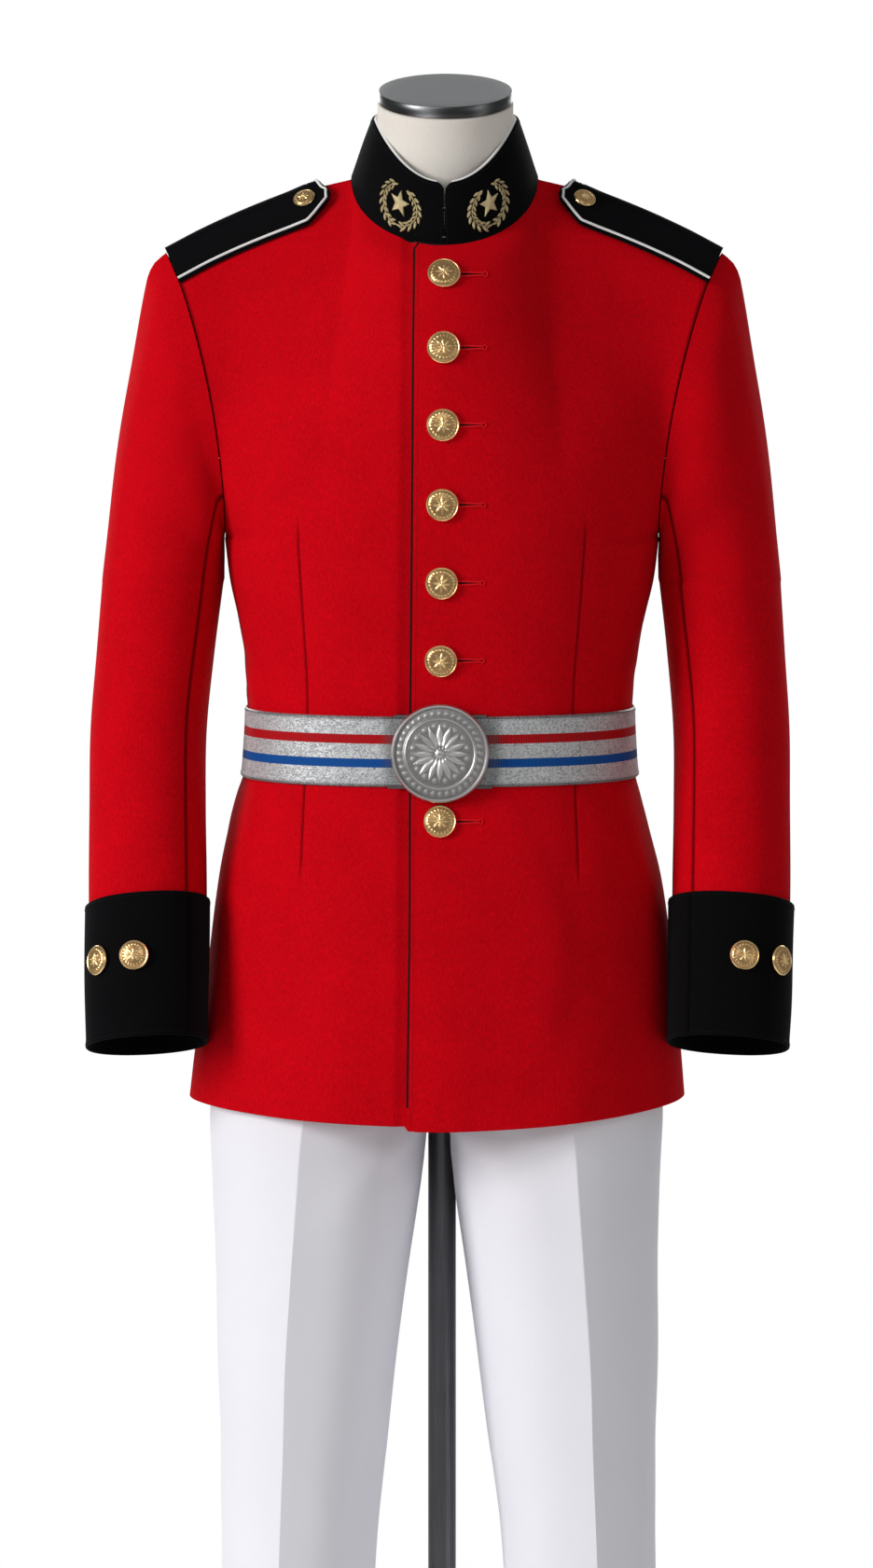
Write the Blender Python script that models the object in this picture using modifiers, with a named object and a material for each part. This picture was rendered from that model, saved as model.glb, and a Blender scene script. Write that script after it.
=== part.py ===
"""Firefighter dress uniform on a limbless dress form.

A red wool tunic with black stand collar, shoulder straps and deep cuffs, a webbing belt with a
round buckle, and white pressed trousers, all on a torso form with a steel pole and a base plate.
Metres, +Z up, the front faces -Y, the origin is at the centre of the base plate on the floor.
"Left" and "right" are the wearer's. The left front laps over the right one.
"""
import math

import bmesh
import bpy
from mathutils import Matrix, Vector

NAME = "firefighter_dress_uniform"

# Cloth walls and the gap kept between neighbouring pieces
WOOL = 0.0020
TROUSER_CLOTH = 0.0016
COLLAR_CLOTH = 0.0024
STRAP_BOARD = 0.0034
WEBBING = 0.0019
GAP = 0.0003
LAP_STEP = WOOL + GAP + 0.0003

# Levels
UNDERARM_Z = 1.262
BELT_LOW, BELT_MID, BELT_HIGH = 1.0680, 1.0955, 1.1230
BELT_Z = (BELT_LOW, BELT_MID, BELT_HIGH)
CROTCH_Z = 0.815
TROUSER_TOP = 1.1000
WAISTBAND_LOW = 1.0600
TROUSER_HEM = 0.050

# Front closing
LAP_X = -0.0235
UNDERLAP_X = 0.0190
STEP_IN, STEP_OUT = 0.0268, 0.0370
BUTTON_Z = (1.4800, 1.4217, 1.3600, 1.2959, 1.2327, 1.1695, 1.0393)
BUTTON_R = 0.0131
CUFF_BUTTON_R = 0.0120
STRAP_BUTTON_R = 0.0090
BUCKLE_R = 0.0390

# Stand
POLE_R = 0.0115
BASE_R = 0.2000
BASE_THICK = 0.0100
NECK_R = 0.0555
NECK_TILT = math.radians(15.0)
CAP_R = 0.0550
CAP_THICK = 0.0100

# z, half width, front depth, back depth of the tunic below the underarm
TORSO = (
    (0.780, 0.2060, 0.1530, 0.1500),
    (0.830, 0.2010, 0.1500, 0.1480),
    (0.900, 0.1925, 0.1450, 0.1450),
    (0.982, 0.1835, 0.1385, 0.1390),
    (1.028, 0.1728, 0.1310, 0.1280),
    (1.052, 0.1660, 0.1262, 0.1195),
    (1.068, 0.1614, 0.1228, 0.1150),
    (1.0955, 0.1593, 0.1213, 0.1110),
    (1.123, 0.1583, 0.1213, 0.1100),
    (1.136, 0.1590, 0.1222, 0.1100),
    (1.167, 0.1617, 0.1248, 0.1110),
    (1.198, 0.1667, 0.1285, 0.1140),
    (1.2286, 0.1738, 0.1320, 0.1170),
    (1.262, 0.1785, 0.1345, 0.1200),
)
ROUNDNESS = 2.3

# share, y, z of the centre front above the underarm, and of the centre back
CENTRE_FRONT = (
    (0.00, -0.1345, 1.2620),
    (0.25, -0.1350, 1.3240),
    (0.50, -0.1315, 1.3880),
    (0.72, -0.1195, 1.4440),
    (0.88, -0.1000, 1.4820),
    (1.00, -0.0785, 1.5035),
)
CENTRE_BACK = (
    (0.00, 0.1200, 1.2620),
    (0.25, 0.1275, 1.3360),
    (0.50, 0.1270, 1.4160),
    (0.72, 0.1140, 1.4860),
    (0.88, 0.0900, 1.5360),
    (1.00, 0.0620, 1.5650),
)
# share, x, y, z of the armhole edge from the underarm to the shoulder point
ARMHOLE_FRONT = (
    (0.00, 0.1785, 0.0000, 1.2620),
    (0.12, 0.1772, -0.0360, 1.2720),
    (0.28, 0.1782, -0.0560, 1.3020),
    (0.45, 0.1830, -0.0620, 1.3440),
    (0.62, 0.1905, -0.0590, 1.3860),
    (0.78, 0.2015, -0.0480, 1.4300),
    (0.90, 0.2140, -0.0290, 1.4680),
    (1.00, 0.2275, 0.0060, 1.4960),
)
ARMHOLE_BACK = (
    (0.00, 0.1785, 0.0000, 1.2620),
    (0.12, 0.1775, 0.0330, 1.2720),
    (0.28, 0.1795, 0.0530, 1.3060),
    (0.45, 0.1850, 0.0600, 1.3500),
    (0.62, 0.1925, 0.0600, 1.3950),
    (0.78, 0.2030, 0.0520, 1.4400),
    (0.90, 0.2145, 0.0370, 1.4740),
    (1.00, 0.2275, 0.0060, 1.4960),
)
# share of the shoulder seam from the neck to the shoulder point, x, y, z
SHOULDER = (
    (0.00, 0.0766, 0.0060, 1.5560),
    (0.25, 0.1120, 0.0080, 1.5470),
    (0.55, 0.1570, 0.0095, 1.5300),
    (0.80, 0.1960, 0.0090, 1.5125),
    (1.00, 0.2275, 0.0060, 1.4960),
)
NECK_SHARE = 0.40

NECK_ANGLE = 31.0
ANGLES = (0.0, 10.0, 21.0, NECK_ANGLE, 44.0, 57.0, 70.0, 81.0, 90.0)
RISE = (0.16, 0.34, 0.52, 0.70, 0.84, 0.94, 1.0)
LEVELS_Z = (0.860, 0.930, 1.000, 1.068, 1.0955, 1.123, 1.200, UNDERARM_Z)

# z, sideways hang of the cloth on the stand
LEAN = (
    (0.00, -0.0032),
    (0.45, -0.0034),
    (0.81, -0.0038),
    (0.95, -0.0022),
    (1.09, -0.0018),
    (1.23, -0.0005),
    (1.49, 0.0015),
    (1.65, 0.0030),
)

# z, centre x, centre y, half width, half depth of the sleeve below the underarm
SLEEVE = (
    (0.8360, 0.2368, -0.0870, 0.0464, 0.0490),
    (0.9200, 0.2382, -0.0630, 0.0480, 0.0520),
    (0.9820, 0.2393, -0.0450, 0.0484, 0.0545),
    (1.0440, 0.2400, -0.0275, 0.0478, 0.0570),
    (1.1050, 0.2398, -0.0120, 0.0478, 0.0595),
    (1.1670, 0.2350, -0.0015, 0.0485, 0.0620),
    (1.2286, 0.2290, 0.0000, 0.0500, 0.0640),
)
SLEEVE_TOP = 1.2286
HEAD_LEVELS = (0.0, 0.03, 0.08, 0.25, 0.50, 0.75, 1.0)
SLEEVE_Z = (1.175, 1.120, 1.060, 1.000, 0.9520)
CUFF_Z = (0.9645, 0.9090, 0.8525)
CUFF_TILT = 0.06
FOREARM_SEAM, HINDARM_SEAM = 132.0, 245.0
# share of the way down the sleeve head, share of the way out
HEAD = (
    (0.00, 0.00),
    (0.03, 0.18),
    (0.08, 0.30),
    (0.36, 0.56),
    (0.65, 0.80),
    (0.92, 0.96),
    (1.00, 1.00),
)

# z, leg centre x, half width, leg centre y, front depth, back depth, crease x, crease height
LEG = (
    (0.050, 0.1230, 0.0575, -0.0080, 0.0900, 0.0900, 0.1370, 0.0130),
    (0.2500, 0.1205, 0.0600, -0.0090, 0.0930, 0.0930, 0.1340, 0.0130),
    (0.428, 0.1159, 0.0647, -0.0100, 0.0960, 0.0960, 0.1300, 0.0130),
    (0.520, 0.1109, 0.0697, -0.0100, 0.0990, 0.0990, 0.1265, 0.0130),
    (0.5895, 0.1078, 0.0743, -0.0100, 0.1010, 0.1020, 0.1245, 0.0125),
    (0.659, 0.1036, 0.0793, -0.0090, 0.1030, 0.1060, 0.1200, 0.0120),
    (0.728, 0.0996, 0.0858, -0.0080, 0.1050, 0.1120, 0.1150, 0.0110),
    (0.7800, 0.0972, 0.0903, -0.0060, 0.1080, 0.1190, 0.1110, 0.0090),
    (CROTCH_Z, 0.0935, 0.0930, -0.0040, 0.1110, 0.1260, 0.1060, 0.0070),
    (0.845, 0.0700, 0.1157, -0.0030, 0.1140, 0.1290, 0.1000, 0.0050),
    (0.880, 0.0480, 0.1365, -0.0020, 0.1170, 0.1310, 0.0950, 0.0030),
    (0.930, 0.0250, 0.1560, -0.0010, 0.1200, 0.1300, 0.0900, 0.0015),
    (0.980, 0.0080, 0.1680, 0.0000, 0.1215, 0.1260, 0.0850, 0.0006),
    (1.020, 0.0000, 0.1660, 0.0000, 0.1205, 0.1180, 0.0800, 0.0000),
    (1.060, 0.0000, 0.1588, 0.0000, 0.1172, 0.1120, 0.0750, 0.0000),
    (1.100, 0.0000, 0.1562, 0.0000, 0.1156, 0.1080, 0.0700, 0.0000),
)
LEG_Z = (1.0597, 1.020, 0.975, 0.930, 0.885, 0.850, CROTCH_Z,
         0.775, 0.700, 0.590, 0.440, 0.260, TROUSER_HEM)

COLOURS = {
    "red_wool": ((0.55, 0.004, 0.012), 0.80, 0.0),
    "black_wool": ((0.010, 0.010, 0.012), 0.80, 0.0),
    "white_cloth": ((0.82, 0.83, 0.85), 0.75, 0.0),
    "white_piping": ((0.85, 0.85, 0.84), 0.60, 0.0),
    "gilt": ((0.80, 0.55, 0.20), 0.30, 1.0),
    "gold_thread": ((0.72, 0.52, 0.22), 0.45, 0.3),
    "webbing": ((0.55, 0.55, 0.56), 0.45, 0.4),
    "silvered": ((0.62, 0.62, 0.63), 0.35, 1.0),
    "steel": ((0.55, 0.55, 0.56), 0.30, 1.0),
    "linen": ((0.66, 0.60, 0.50), 0.85, 0.0),
}


def smooth(rows, key, column=1):
    """Value of one column of a table at a key, on a smooth curve through its rows."""
    last = len(rows) - 1
    if key <= rows[0][0]:
        return rows[0][column]
    if key >= rows[last][0]:
        return rows[last][column]
    i = max(k for k in range(last) if rows[k][0] <= key)

    def slope(k):
        a, b = rows[max(k - 1, 0)], rows[min(k + 1, last)]
        return (b[column] - a[column]) / (b[0] - a[0])

    span = rows[i + 1][0] - rows[i][0]
    t = (key - rows[i][0]) / span
    a, b = rows[i][column], rows[i + 1][column]
    m0, m1 = slope(i) * span, slope(i + 1) * span
    t2, t3 = t * t, t * t * t
    return ((2 * t3 - 3 * t2 + 1) * a + (t3 - 2 * t2 + t) * m0
            + (-2 * t3 + 3 * t2) * b + (t3 - t2) * m1)


def ease(edge0, edge1, value):
    t = min(1.0, max(0.0, (value - edge0) / (edge1 - edge0)))
    return t * t * (3 - 2 * t)


def power(value, exponent):
    return math.copysign(abs(value) ** exponent, value)


def leaning(x, y, z):
    return Vector((x + smooth(LEAN, z), y, z))


def section(angle, half, depth, n=ROUNDNESS):
    """Point of a superellipse quarter, angle in degrees from the centre line to the side."""
    a = math.radians(angle)
    return half * power(math.sin(a), 2 / n), depth * power(math.cos(a), 2 / n)


def hem_z(side, x):
    if side == "back":
        return 0.8030
    q = min(1.0, abs(x) / 0.20)
    if x < LAP_X - 0.001:
        return 0.7940 + 0.0095 * q ** 1.6
    return 0.7900 + 0.0135 * q ** 1.6


def low_point(side, angle, z, inset=0.0):
    """Tunic surface below the underarm; angle runs from the centre to the side seam."""
    half = smooth(TORSO, z) - inset
    depth = smooth(TORSO, z, 2 if side == "front" else 3) - inset
    x, d = section(angle, half, depth)
    return x, (-d if side == "front" else d), z


def top_edge(side, share):
    """Neckline, then shoulder seam: share 0 at the centre line, 1 at the shoulder point."""
    if share <= NECK_SHARE:
        a = math.radians(90.0 * share / NECK_SHARE)
        row = (CENTRE_FRONT if side == "front" else CENTRE_BACK)[-1]
        near, far = Vector((0, row[1], row[2])), Vector(SHOULDER[0][1:])
        x = far.x * math.sin(a)
        y = far.y + (near.y - far.y) * math.cos(a)
        z = near.z + (far.z - near.z) * (1 - math.cos(a))
        return Vector((x, y, z))
    s = (share - NECK_SHARE) / (1 - NECK_SHARE)
    return Vector([smooth(SHOULDER, s, c) for c in (1, 2, 3)])


def high_point(side, angle, rise, inset=0.0):
    """Tunic surface from the underarm level (rise 0) to the neckline and shoulder (rise 1)."""
    centre = CENTRE_FRONT if side == "front" else CENTRE_BACK
    armhole = ARMHOLE_FRONT if side == "front" else ARMHOLE_BACK
    sign = -1.0 if angle < 0 else 1.0
    angle = abs(angle)
    out = -1.0 if side == "front" else 1.0
    mid = Vector((0, smooth(centre, rise, 1), smooth(centre, rise, 2)))
    arm = Vector([smooth(armhole, rise, c) for c in (1, 2, 3)])
    reach = 1.0 - 0.10 * ease(0.0, 0.35, rise)
    q = power(math.sin(math.radians(angle)), 2 / ROUNDNESS)

    def fall(value):
        return 1 - max(0.0, 1 - (value * reach) ** ROUNDNESS) ** (1 / ROUNDNESS)

    f = fall(q) / fall(1.0)
    plain = Vector((arm.x * q, mid.y + (arm.y - mid.y) * f, mid.z + (arm.z - mid.z) * q ** 1.6))
    share = NECK_SHARE * angle / 31.0 if angle < 31.0 else (
        NECK_SHARE + (1 - NECK_SHARE) * (angle - 31.0) / 59.0)
    last_mid, last_arm = centre[-1], armhole[-1]
    f1 = fall(q) / fall(1.0)
    last = Vector((last_arm[1] * q, last_mid[1] + (last_arm[2] - last_mid[1]) * f1,
                   last_mid[2] + (last_arm[3] - last_mid[2]) * q ** 1.6))
    blend = ease(0.0, 1.0, rise) * rise
    p = plain + (top_edge(side, share) - last) * blend
    if inset:
        under_lap = LAP_STEP * max(0.0, 1 - angle / 21.0) if side == "front" else 0.0
        p.x *= 1 - inset / 0.17
        p.y -= out * (inset + under_lap) * (1 - rise ** 6 * ease(12.0, NECK_ANGLE, angle))
        p.z -= (inset + under_lap) * rise ** 2
    return sign * p.x, p.y, p.z


def tunic_point(side, angle, level, inset=0.0):
    """Level below 0 goes down to the hem as metres of drop, level 0..1 is the rise."""
    if level <= 0:
        x, y, z = low_point(side, angle, UNDERARM_Z + level, inset)
    else:
        x, y, z = high_point(side, angle, level, inset)
    return leaning(x, y, z)


def front_xyz(x, z, out=0.0):
    """Point on the front of the tunic near the centre line at a given x and z."""
    if z <= UNDERARM_Z:
        half, depth = smooth(TORSO, z), smooth(TORSO, z, 2)
        y = -depth * (1 - (abs(x) / half) ** ROUNDNESS) ** (1 / ROUNDNESS)
        return leaning(x, y - out, z)
    low, high = 0.0, 1.0
    angle = math.degrees(math.asin((abs(x) / 0.19) ** (ROUNDNESS / 2)))
    for _ in range(24):
        rise = (low + high) / 2
        if high_point("front", angle, rise)[2] < z:
            low = rise
        else:
            high = rise
    y = high_point("front", angle, (low + high) / 2)[1]
    return leaning(x, y - out, z)


def unit_normal(surface, u, v, low_u, high_u):
    """Surface normal from small steps that stay inside the sheet's own range of u."""
    u0, u1 = max(low_u, u - 0.05), min(high_u, u + 0.05)
    along = surface(u1, v) - surface(u0, v)
    v0, v1 = v - 0.0005, v + 0.0005
    if v > 0.9994:
        v1 = v
    if 0 <= v < 0.0005:
        v0 = v
    if -0.0005 < v < 0:
        v1 = v
    return along.cross(surface(u, v1) - surface(u, v0)).normalized()


def collection(name):
    c = bpy.data.collections.new(name)
    bpy.context.scene.collection.children.link(c)
    return c


def material(name):
    m = bpy.data.materials.get(name)
    if m is None:
        colour, rough, metal = COLOURS[name]
        m = bpy.data.materials.new(name)
        m.use_nodes = True
        shader = m.node_tree.nodes["Principled BSDF"]
        shader.inputs["Base Color"].default_value = (*colour, 1.0)
        shader.inputs["Roughness"].default_value = rough
        shader.inputs["Metallic"].default_value = metal
        m.diffuse_color = (*colour, 1.0)
    return m


def add(name, data, slot, parent=None):
    """Put a mesh or a curve in the object's collection under its node name."""
    obj = bpy.data.objects.new(name, data)
    obj.data.materials.clear()
    obj.data.materials.append(material(slot))
    bpy.data.collections[NAME].objects.link(obj)
    if parent is not None:
        obj.parent = parent
    return obj


def adopt(obj, name, slot):
    """Name a new primitive, give it its material and move it to the object's collection."""
    obj.name = obj.data.name = name
    obj.data.materials.append(material(slot))
    obj.data.shade_smooth()
    for home in obj.users_collection:
        home.objects.unlink(obj)
    bpy.data.collections[NAME].objects.link(obj)
    return obj


def face_outwards(bm):
    """Point every face of a closed body outwards."""
    bmesh.ops.recalc_face_normals(bm, faces=bm.faces)
    if bm.calc_volume(signed=True) < 0:
        bmesh.ops.reverse_faces(bm, faces=bm.faces)


def grid_mesh(name, rows, closed=False):
    """Mesh of quads through rows of points; closed joins the last column to the first."""
    bm = bmesh.new()
    verts = [[bm.verts.new(p) for p in row] for row in rows]
    for low, high in zip(verts, verts[1:]):
        columns = range(len(low) if closed else len(low) - 1)
        for i in columns:
            j = (i + 1) % len(low)
            bm.faces.new((low[i], low[j], high[j], high[i]))
    bmesh.ops.recalc_face_normals(bm, faces=bm.faces)
    mesh = bpy.data.meshes.new(name)
    bm.to_mesh(mesh)
    bm.free()
    mesh.shade_smooth()
    return mesh


def faces_out(mesh, inside):
    """Turn the whole open sheet so that most of its faces look away from a point."""
    facing_in = sum(f.area * f.normal.dot(inside - f.center) for f in mesh.polygons)
    if facing_in > 0:
        mesh.flip_normals()


def sheet(name, rows, thickness, slot, inside, closed=False):
    """A cloth piece: its outer face through the rows, made solid towards the inside."""
    mesh = grid_mesh(name, rows, closed)
    faces_out(mesh, inside)
    obj = add(name, mesh, slot)
    solid = obj.modifiers.new("cloth", "SOLIDIFY")
    solid.thickness = thickness
    solid.offset = -1.0
    return obj


def shell(name, surface, rows, thickness, slot, inside, settle=None):
    """A cut panel: a loft between its outer face and the face a cloth's thickness behind it.

    rows holds (u, v) pairs, and inside gives a point behind each row. Both faces take their normal from the surface itself, so that two
    panels which meet at a seam keep the same gap through the whole wall.
    """
    outer, inner = [], []
    for row in rows:
        low_u, high_u = min(u for u, _ in row), max(u for u, _ in row)
        points = [surface(u, v) for u, v in row]
        away = [unit_normal(surface, u, v, low_u, high_u) for u, v in row]
        middle = inside(row[0][1])
        sign = -1.0 if sum(n.dot(middle - p) for n, p in zip(away, points)) > 0 else 1.0
        away = [n * sign for n in away]
        if settle is not None:
            away = [settle(u, v, n) for (u, v), n in zip(row, away)]
        outer.append(points)
        inner.append([p - n * thickness for p, n in zip(points, away)])
    bm = bmesh.new()
    skin = [[[bm.verts.new(p) for p in line] for line in face] for face in (outer, inner)]
    count_v, count_u = len(rows), len(rows[0])
    for face in skin:
        for low, high in zip(face, face[1:]):
            for i in range(count_u - 1):
                bm.faces.new((low[i], low[i + 1], high[i + 1], high[i]))
    rim = [(0, i) for i in range(count_u)] + [(j, count_u - 1) for j in range(1, count_v)]
    rim += [(count_v - 1, i) for i in range(count_u - 2, -1, -1)]
    rim += [(j, 0) for j in range(count_v - 2, 0, -1)]
    for (j, i), (m, k) in zip(rim, rim[1:] + rim[:1]):
        bm.faces.new((skin[0][j][i], skin[0][m][k], skin[1][m][k], skin[1][j][i]))
    face_outwards(bm)
    mesh = bpy.data.meshes.new(name)
    bm.to_mesh(mesh)
    bm.free()
    mesh.shade_smooth()
    mesh.set_sharp_from_angle(angle=math.radians(50))
    return add(name, mesh, slot)


def seam_end(depth):
    """Angle short of 90 degrees that leaves half a gap at a side seam."""
    return math.degrees(math.acos((GAP / 2 / depth) ** (ROUNDNESS / 2)))


def angle_at(x, level):
    """Angle from the centre front that gives an x near it, at a level of the tunic."""
    half = smooth(TORSO, UNDERARM_Z + min(level, 0.0)) if level <= 0 else smooth(ARMHOLE_FRONT, level)
    return math.degrees(math.asin((x / half) ** (ROUNDNESS / 2)))


def shoulder_square(angle, level, normal):
    """At the shoulder seam both panels are cut square to the seam."""
    if level > 0.999 and abs(angle) >= NECK_ANGLE - 0.01:
        return Vector((normal.x, 0.0, normal.z)).normalized()
    return normal


def tunic_surface(face, side):
    """World point of a tunic panel for an angle and a level."""
    out = -1.0 if face == "front" else 1.0

    def surface(angle, level):
        if face == "front" and level < LEVELS_Z[0] - UNDERARM_Z - 1e-6:
            share = (level - (LEVELS_Z[0] - UNDERARM_Z)) / -0.072
            x0 = low_point(face, angle, LEVELS_Z[0])[0]
            bottom = hem_z(face, side * x0)
            level = LEVELS_Z[0] - UNDERARM_Z - share * (LEVELS_Z[0] - bottom)
        if level <= 0:
            x, y, z = low_point(face, angle, UNDERARM_Z + level)
        else:
            x, y, z = high_point(face, angle, level)
            y += out * GAP / 2 * ease(0.9, 1.0, level)
            x -= GAP / 2 * ease(75.0, 90.0, angle)
        if face == "back":
            x = max(x, GAP / 2)
        x *= side
        if face == "front" and side < 0:
            step = LAP_STEP * ease(-STEP_OUT, -STEP_IN, x)
            pitch = math.radians(46.0 * ease(0.4, 1.0, level))
            y += step * math.cos(pitch)
            z -= step * math.sin(pitch)
        return leaning(x, y, z)

    return surface


def tunic_panel(name, face, side):
    """One front or back: side +1 is the wearer's left. The left front is on top."""
    hem = -0.072 + LEVELS_Z[0] - UNDERARM_Z if face == "front" else 0.803 - UNDERARM_Z
    levels = [hem] + [z - UNDERARM_Z for z in LEVELS_Z] + list(RISE)
    rows = []
    for level in levels:
        columns = list(ANGLES)
        if face == "front" and side > 0:
            columns.insert(1, angle_at(UNDERLAP_X, level))
            columns.insert(0, -angle_at(-LAP_X, level))
        if face == "front" and side < 0:
            columns[1:2] = [angle_at(STEP_IN, level), angle_at(STEP_OUT, level)]
            columns.insert(0, -angle_at(UNDERLAP_X, level))
        if level <= 0:
            z = UNDERARM_Z + level
            columns[-1] = seam_end(smooth(TORSO, z, 2 if face == "front" else 3))
        rows.append([(angle, level) for angle in columns])
    return shell(name, tunic_surface(face, side), rows, WOOL, "red_wool",
                 lambda level: Vector((0, 0, UNDERARM_Z + min(level, 0.0))), shoulder_square)


def armhole_loop(psi):
    """Point of the armhole; psi 0 at the shoulder point, 90 front, 180 underarm, 270 back."""
    table = ARMHOLE_FRONT if psi <= 180 else ARMHOLE_BACK
    share = 1 - psi / 180 if psi <= 180 else (psi - 180) / 180
    return Vector([smooth(table, share, c) for c in (1, 2, 3)])


def arm_ring(psi, z, out=0.0):
    """Sleeve below the underarm: rings square to the arm, which swings forward.

    Towards the cuff they also drop a little to the outer side.
    """
    a = math.radians(psi)
    half, deep = smooth(SLEEVE, z, 3) + out, smooth(SLEEVE, z, 4) + out
    slope = (smooth(SLEEVE, z + 0.01, 2) - smooth(SLEEVE, z - 0.01, 2)) / 0.02
    dy = -deep * power(math.sin(a), 2 / 2.15)
    dx = half * power(math.cos(a), 2 / 2.15)
    drop = dx * CUFF_TILT * ease(1.10, 0.97, z)
    return Vector((smooth(SLEEVE, z, 1) + dx, smooth(SLEEVE, z, 2) + dy,
                   z - dy * slope * 0.95 - drop))


def sleeve_point(psi, level):
    """level 0..1 down the sleeve head, below 0 the drop under its lowest ring."""
    low = arm_ring(psi, SLEEVE_TOP)
    if level < 0:
        return arm_ring(psi, SLEEVE_TOP + level)
    psi = psi % 360
    seam = armhole_loop(psi)
    out = smooth(HEAD, level)
    fullness = 0.006 * math.sin(math.pi * min(1.0, level * 1.6)) * abs(math.sin(math.radians(psi)))
    x = seam.x + 2.5 * GAP + (low.x - seam.x) * out
    y = seam.y + (low.y - seam.y) * level
    y += math.copysign(fullness, y)
    z = seam.z + (low.z - seam.z) * level
    return Vector((x, y, z))


def arm_angles(first, last, count):
    return [first + (last - first) * i / count for i in range(count + 1)]


def sleeve(name, side, first, last, count):
    """One cut piece of the sleeve between two seams, given as angles round the arm."""
    angles = arm_angles(first, last, count)
    angles[0] += 0.2
    angles[-1] -= 0.2

    def surface(angle, level):
        p = sleeve_point(angle, level)
        return leaning(side * p.x, p.y, p.z)

    def flush(angle, level, n):
        if level > 0.001 or level < -0.0001:
            return n
        return Vector((side * min(side * n.x, 0.30), n.y, n.z)).normalized()

    def axis(level):
        if level > 0:
            return Vector((side * 0.225, 0.0, 1.33))
        z = SLEEVE_TOP + level
        return Vector((side * smooth(SLEEVE, z), smooth(SLEEVE, z, 2), z))

    rows = [[(a, 0.0001 if level == 0 else level) for a in angles] for level in HEAD_LEVELS]
    rows += [[(a, z - SLEEVE_TOP) for a in angles] for z in SLEEVE_Z]
    return shell(name, surface, rows, WOOL, "red_wool", axis, flush)


TOP_COLUMNS, UNDER_COLUMNS = 10, 5


def cuff(name, side):
    """Deep cuff: a tube round the end of the sleeve, on the same lines round the arm."""
    angles = arm_angles(HINDARM_SEAM - 360, FOREARM_SEAM, TOP_COLUMNS)
    angles += arm_angles(FOREARM_SEAM, HINDARM_SEAM, UNDER_COLUMNS)[1:-1]
    rows = []
    for z in CUFF_Z:
        ring = [arm_ring(a, z, WOOL + GAP + 0.0003) for a in angles]
        rows.append([leaning(side * p.x, p.y, p.z) for p in ring])
    return sheet(name, rows, WOOL, "black_wool", Vector((side * 0.241, -0.07, 0.904)), True)


def collar_point(turn, rise):
    """turn in degrees from the centre front round the wearer's left, rise 0 seam to 1 top."""
    a = math.radians(turn)
    c, s = math.cos(a), math.sin(a)
    front = 0.5 + 0.5 * c
    base_y = 0.0060 - (0.0845 if c > 0 else 0.0560) * c
    base_z = 1.5560 - 0.0525 * max(c, 0.0) + 0.0090 * max(-c, 0.0) + 0.0016 * s ** 4
    base = Vector((0.0766 * s, base_y, base_z))
    top_y = -0.0050 - (0.0665 if c > 0 else 0.0520) * c
    top_z = 1.6040 - 0.0515 * max(c, 0.0) ** 1.8 + 0.0120 * max(-c, 0.0)
    top = Vector((0.0602 * power(s, 0.95), top_y, top_z))
    p = base.lerp(top, rise)
    belly = 0.0015 * math.sin(math.pi * rise) * front
    return Vector((p.x, p.y - belly, p.z))


COLLAR_END = 1.05
COLLAR_CORNER = 0.0070


def collar_turns():
    inner = [COLLAR_END, 3.2, 6.5, 16, 30, 46, 64, 84, 106, 130, 155]
    return inner + [180] + [360 - t for t in reversed(inner)]


def collar():
    rows = []
    for rise in (0.0, 0.5, 1.0):
        row = []
        for turn in collar_turns():
            near = min(turn, 360 - turn)
            run = math.radians(near - COLLAR_END) * 0.074
            drop = 0.0
            if run < COLLAR_CORNER:
                drop = COLLAR_CORNER - math.sqrt(COLLAR_CORNER ** 2 - (COLLAR_CORNER - run) ** 2)
            top = 1.0 - drop / 0.050
            p = collar_point(turn, rise * top)
            row.append(leaning(p.x, p.y, p.z + 5 * GAP))
        rows.append(row)
    return sheet("collar", rows, COLLAR_CLOTH, "black_wool", Vector((0, 0, 1.56)))


def tube(name, points, radius, slot, sides=2, closed=False):
    """A cord or a wire: a curve through the points with a round section and closed ends."""
    data = bpy.data.curves.new(name, "CURVE")
    data.dimensions = "3D"
    data.bevel_depth = radius
    data.bevel_resolution = sides
    data.use_fill_caps = True
    line = data.splines.new("POLY")
    line.points.add(len(points) - 1)
    for slot_point, p in zip(line.points, points):
        slot_point.co = (*p, 1.0)
    line.use_cyclic_u = closed
    return add(name, data, slot)


def turned(name, profile, steps):
    """Mesh turned round Z from a profile that starts at the top and ends at the bottom."""
    mesh = bpy.data.meshes.new(name)
    points = [(r, 0.0, z) for r, z in profile]
    mesh.from_pydata(points, [(i, i + 1) for i in range(len(points) - 1)], [])
    return mesh, steps


def add_turned(name, mesh, steps, slot, matrix):
    obj = add(name, mesh, slot)
    obj.matrix_world = matrix
    screw = obj.modifiers.new("turn", "SCREW")
    screw.axis = "Z"
    screw.steps = steps
    screw.render_steps = steps
    screw.use_merge_vertices = True
    screw.merge_threshold = 0.00001
    screw.use_smooth_shade = True
    return obj


def button_profile(radius):
    """Domed cap with a rim: radius and height from the top of the dome to the back."""
    k = radius / 0.0131
    return [(r * k, z * k) for r, z in ((0.0, 0.0054), (0.0075, 0.0043), (0.0112, 0.0026),
                                        (0.0131, 0.0024), (0.0124, 0.0), (0.0, 0.0))]


def facing(point, normal):
    """Matrix that puts a turned piece's axis on a surface normal at a point."""
    turn = Vector((0, 0, 1)).rotation_difference(Vector(normal)).to_matrix().to_4x4()
    return Matrix.Translation(point) @ turn


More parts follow.
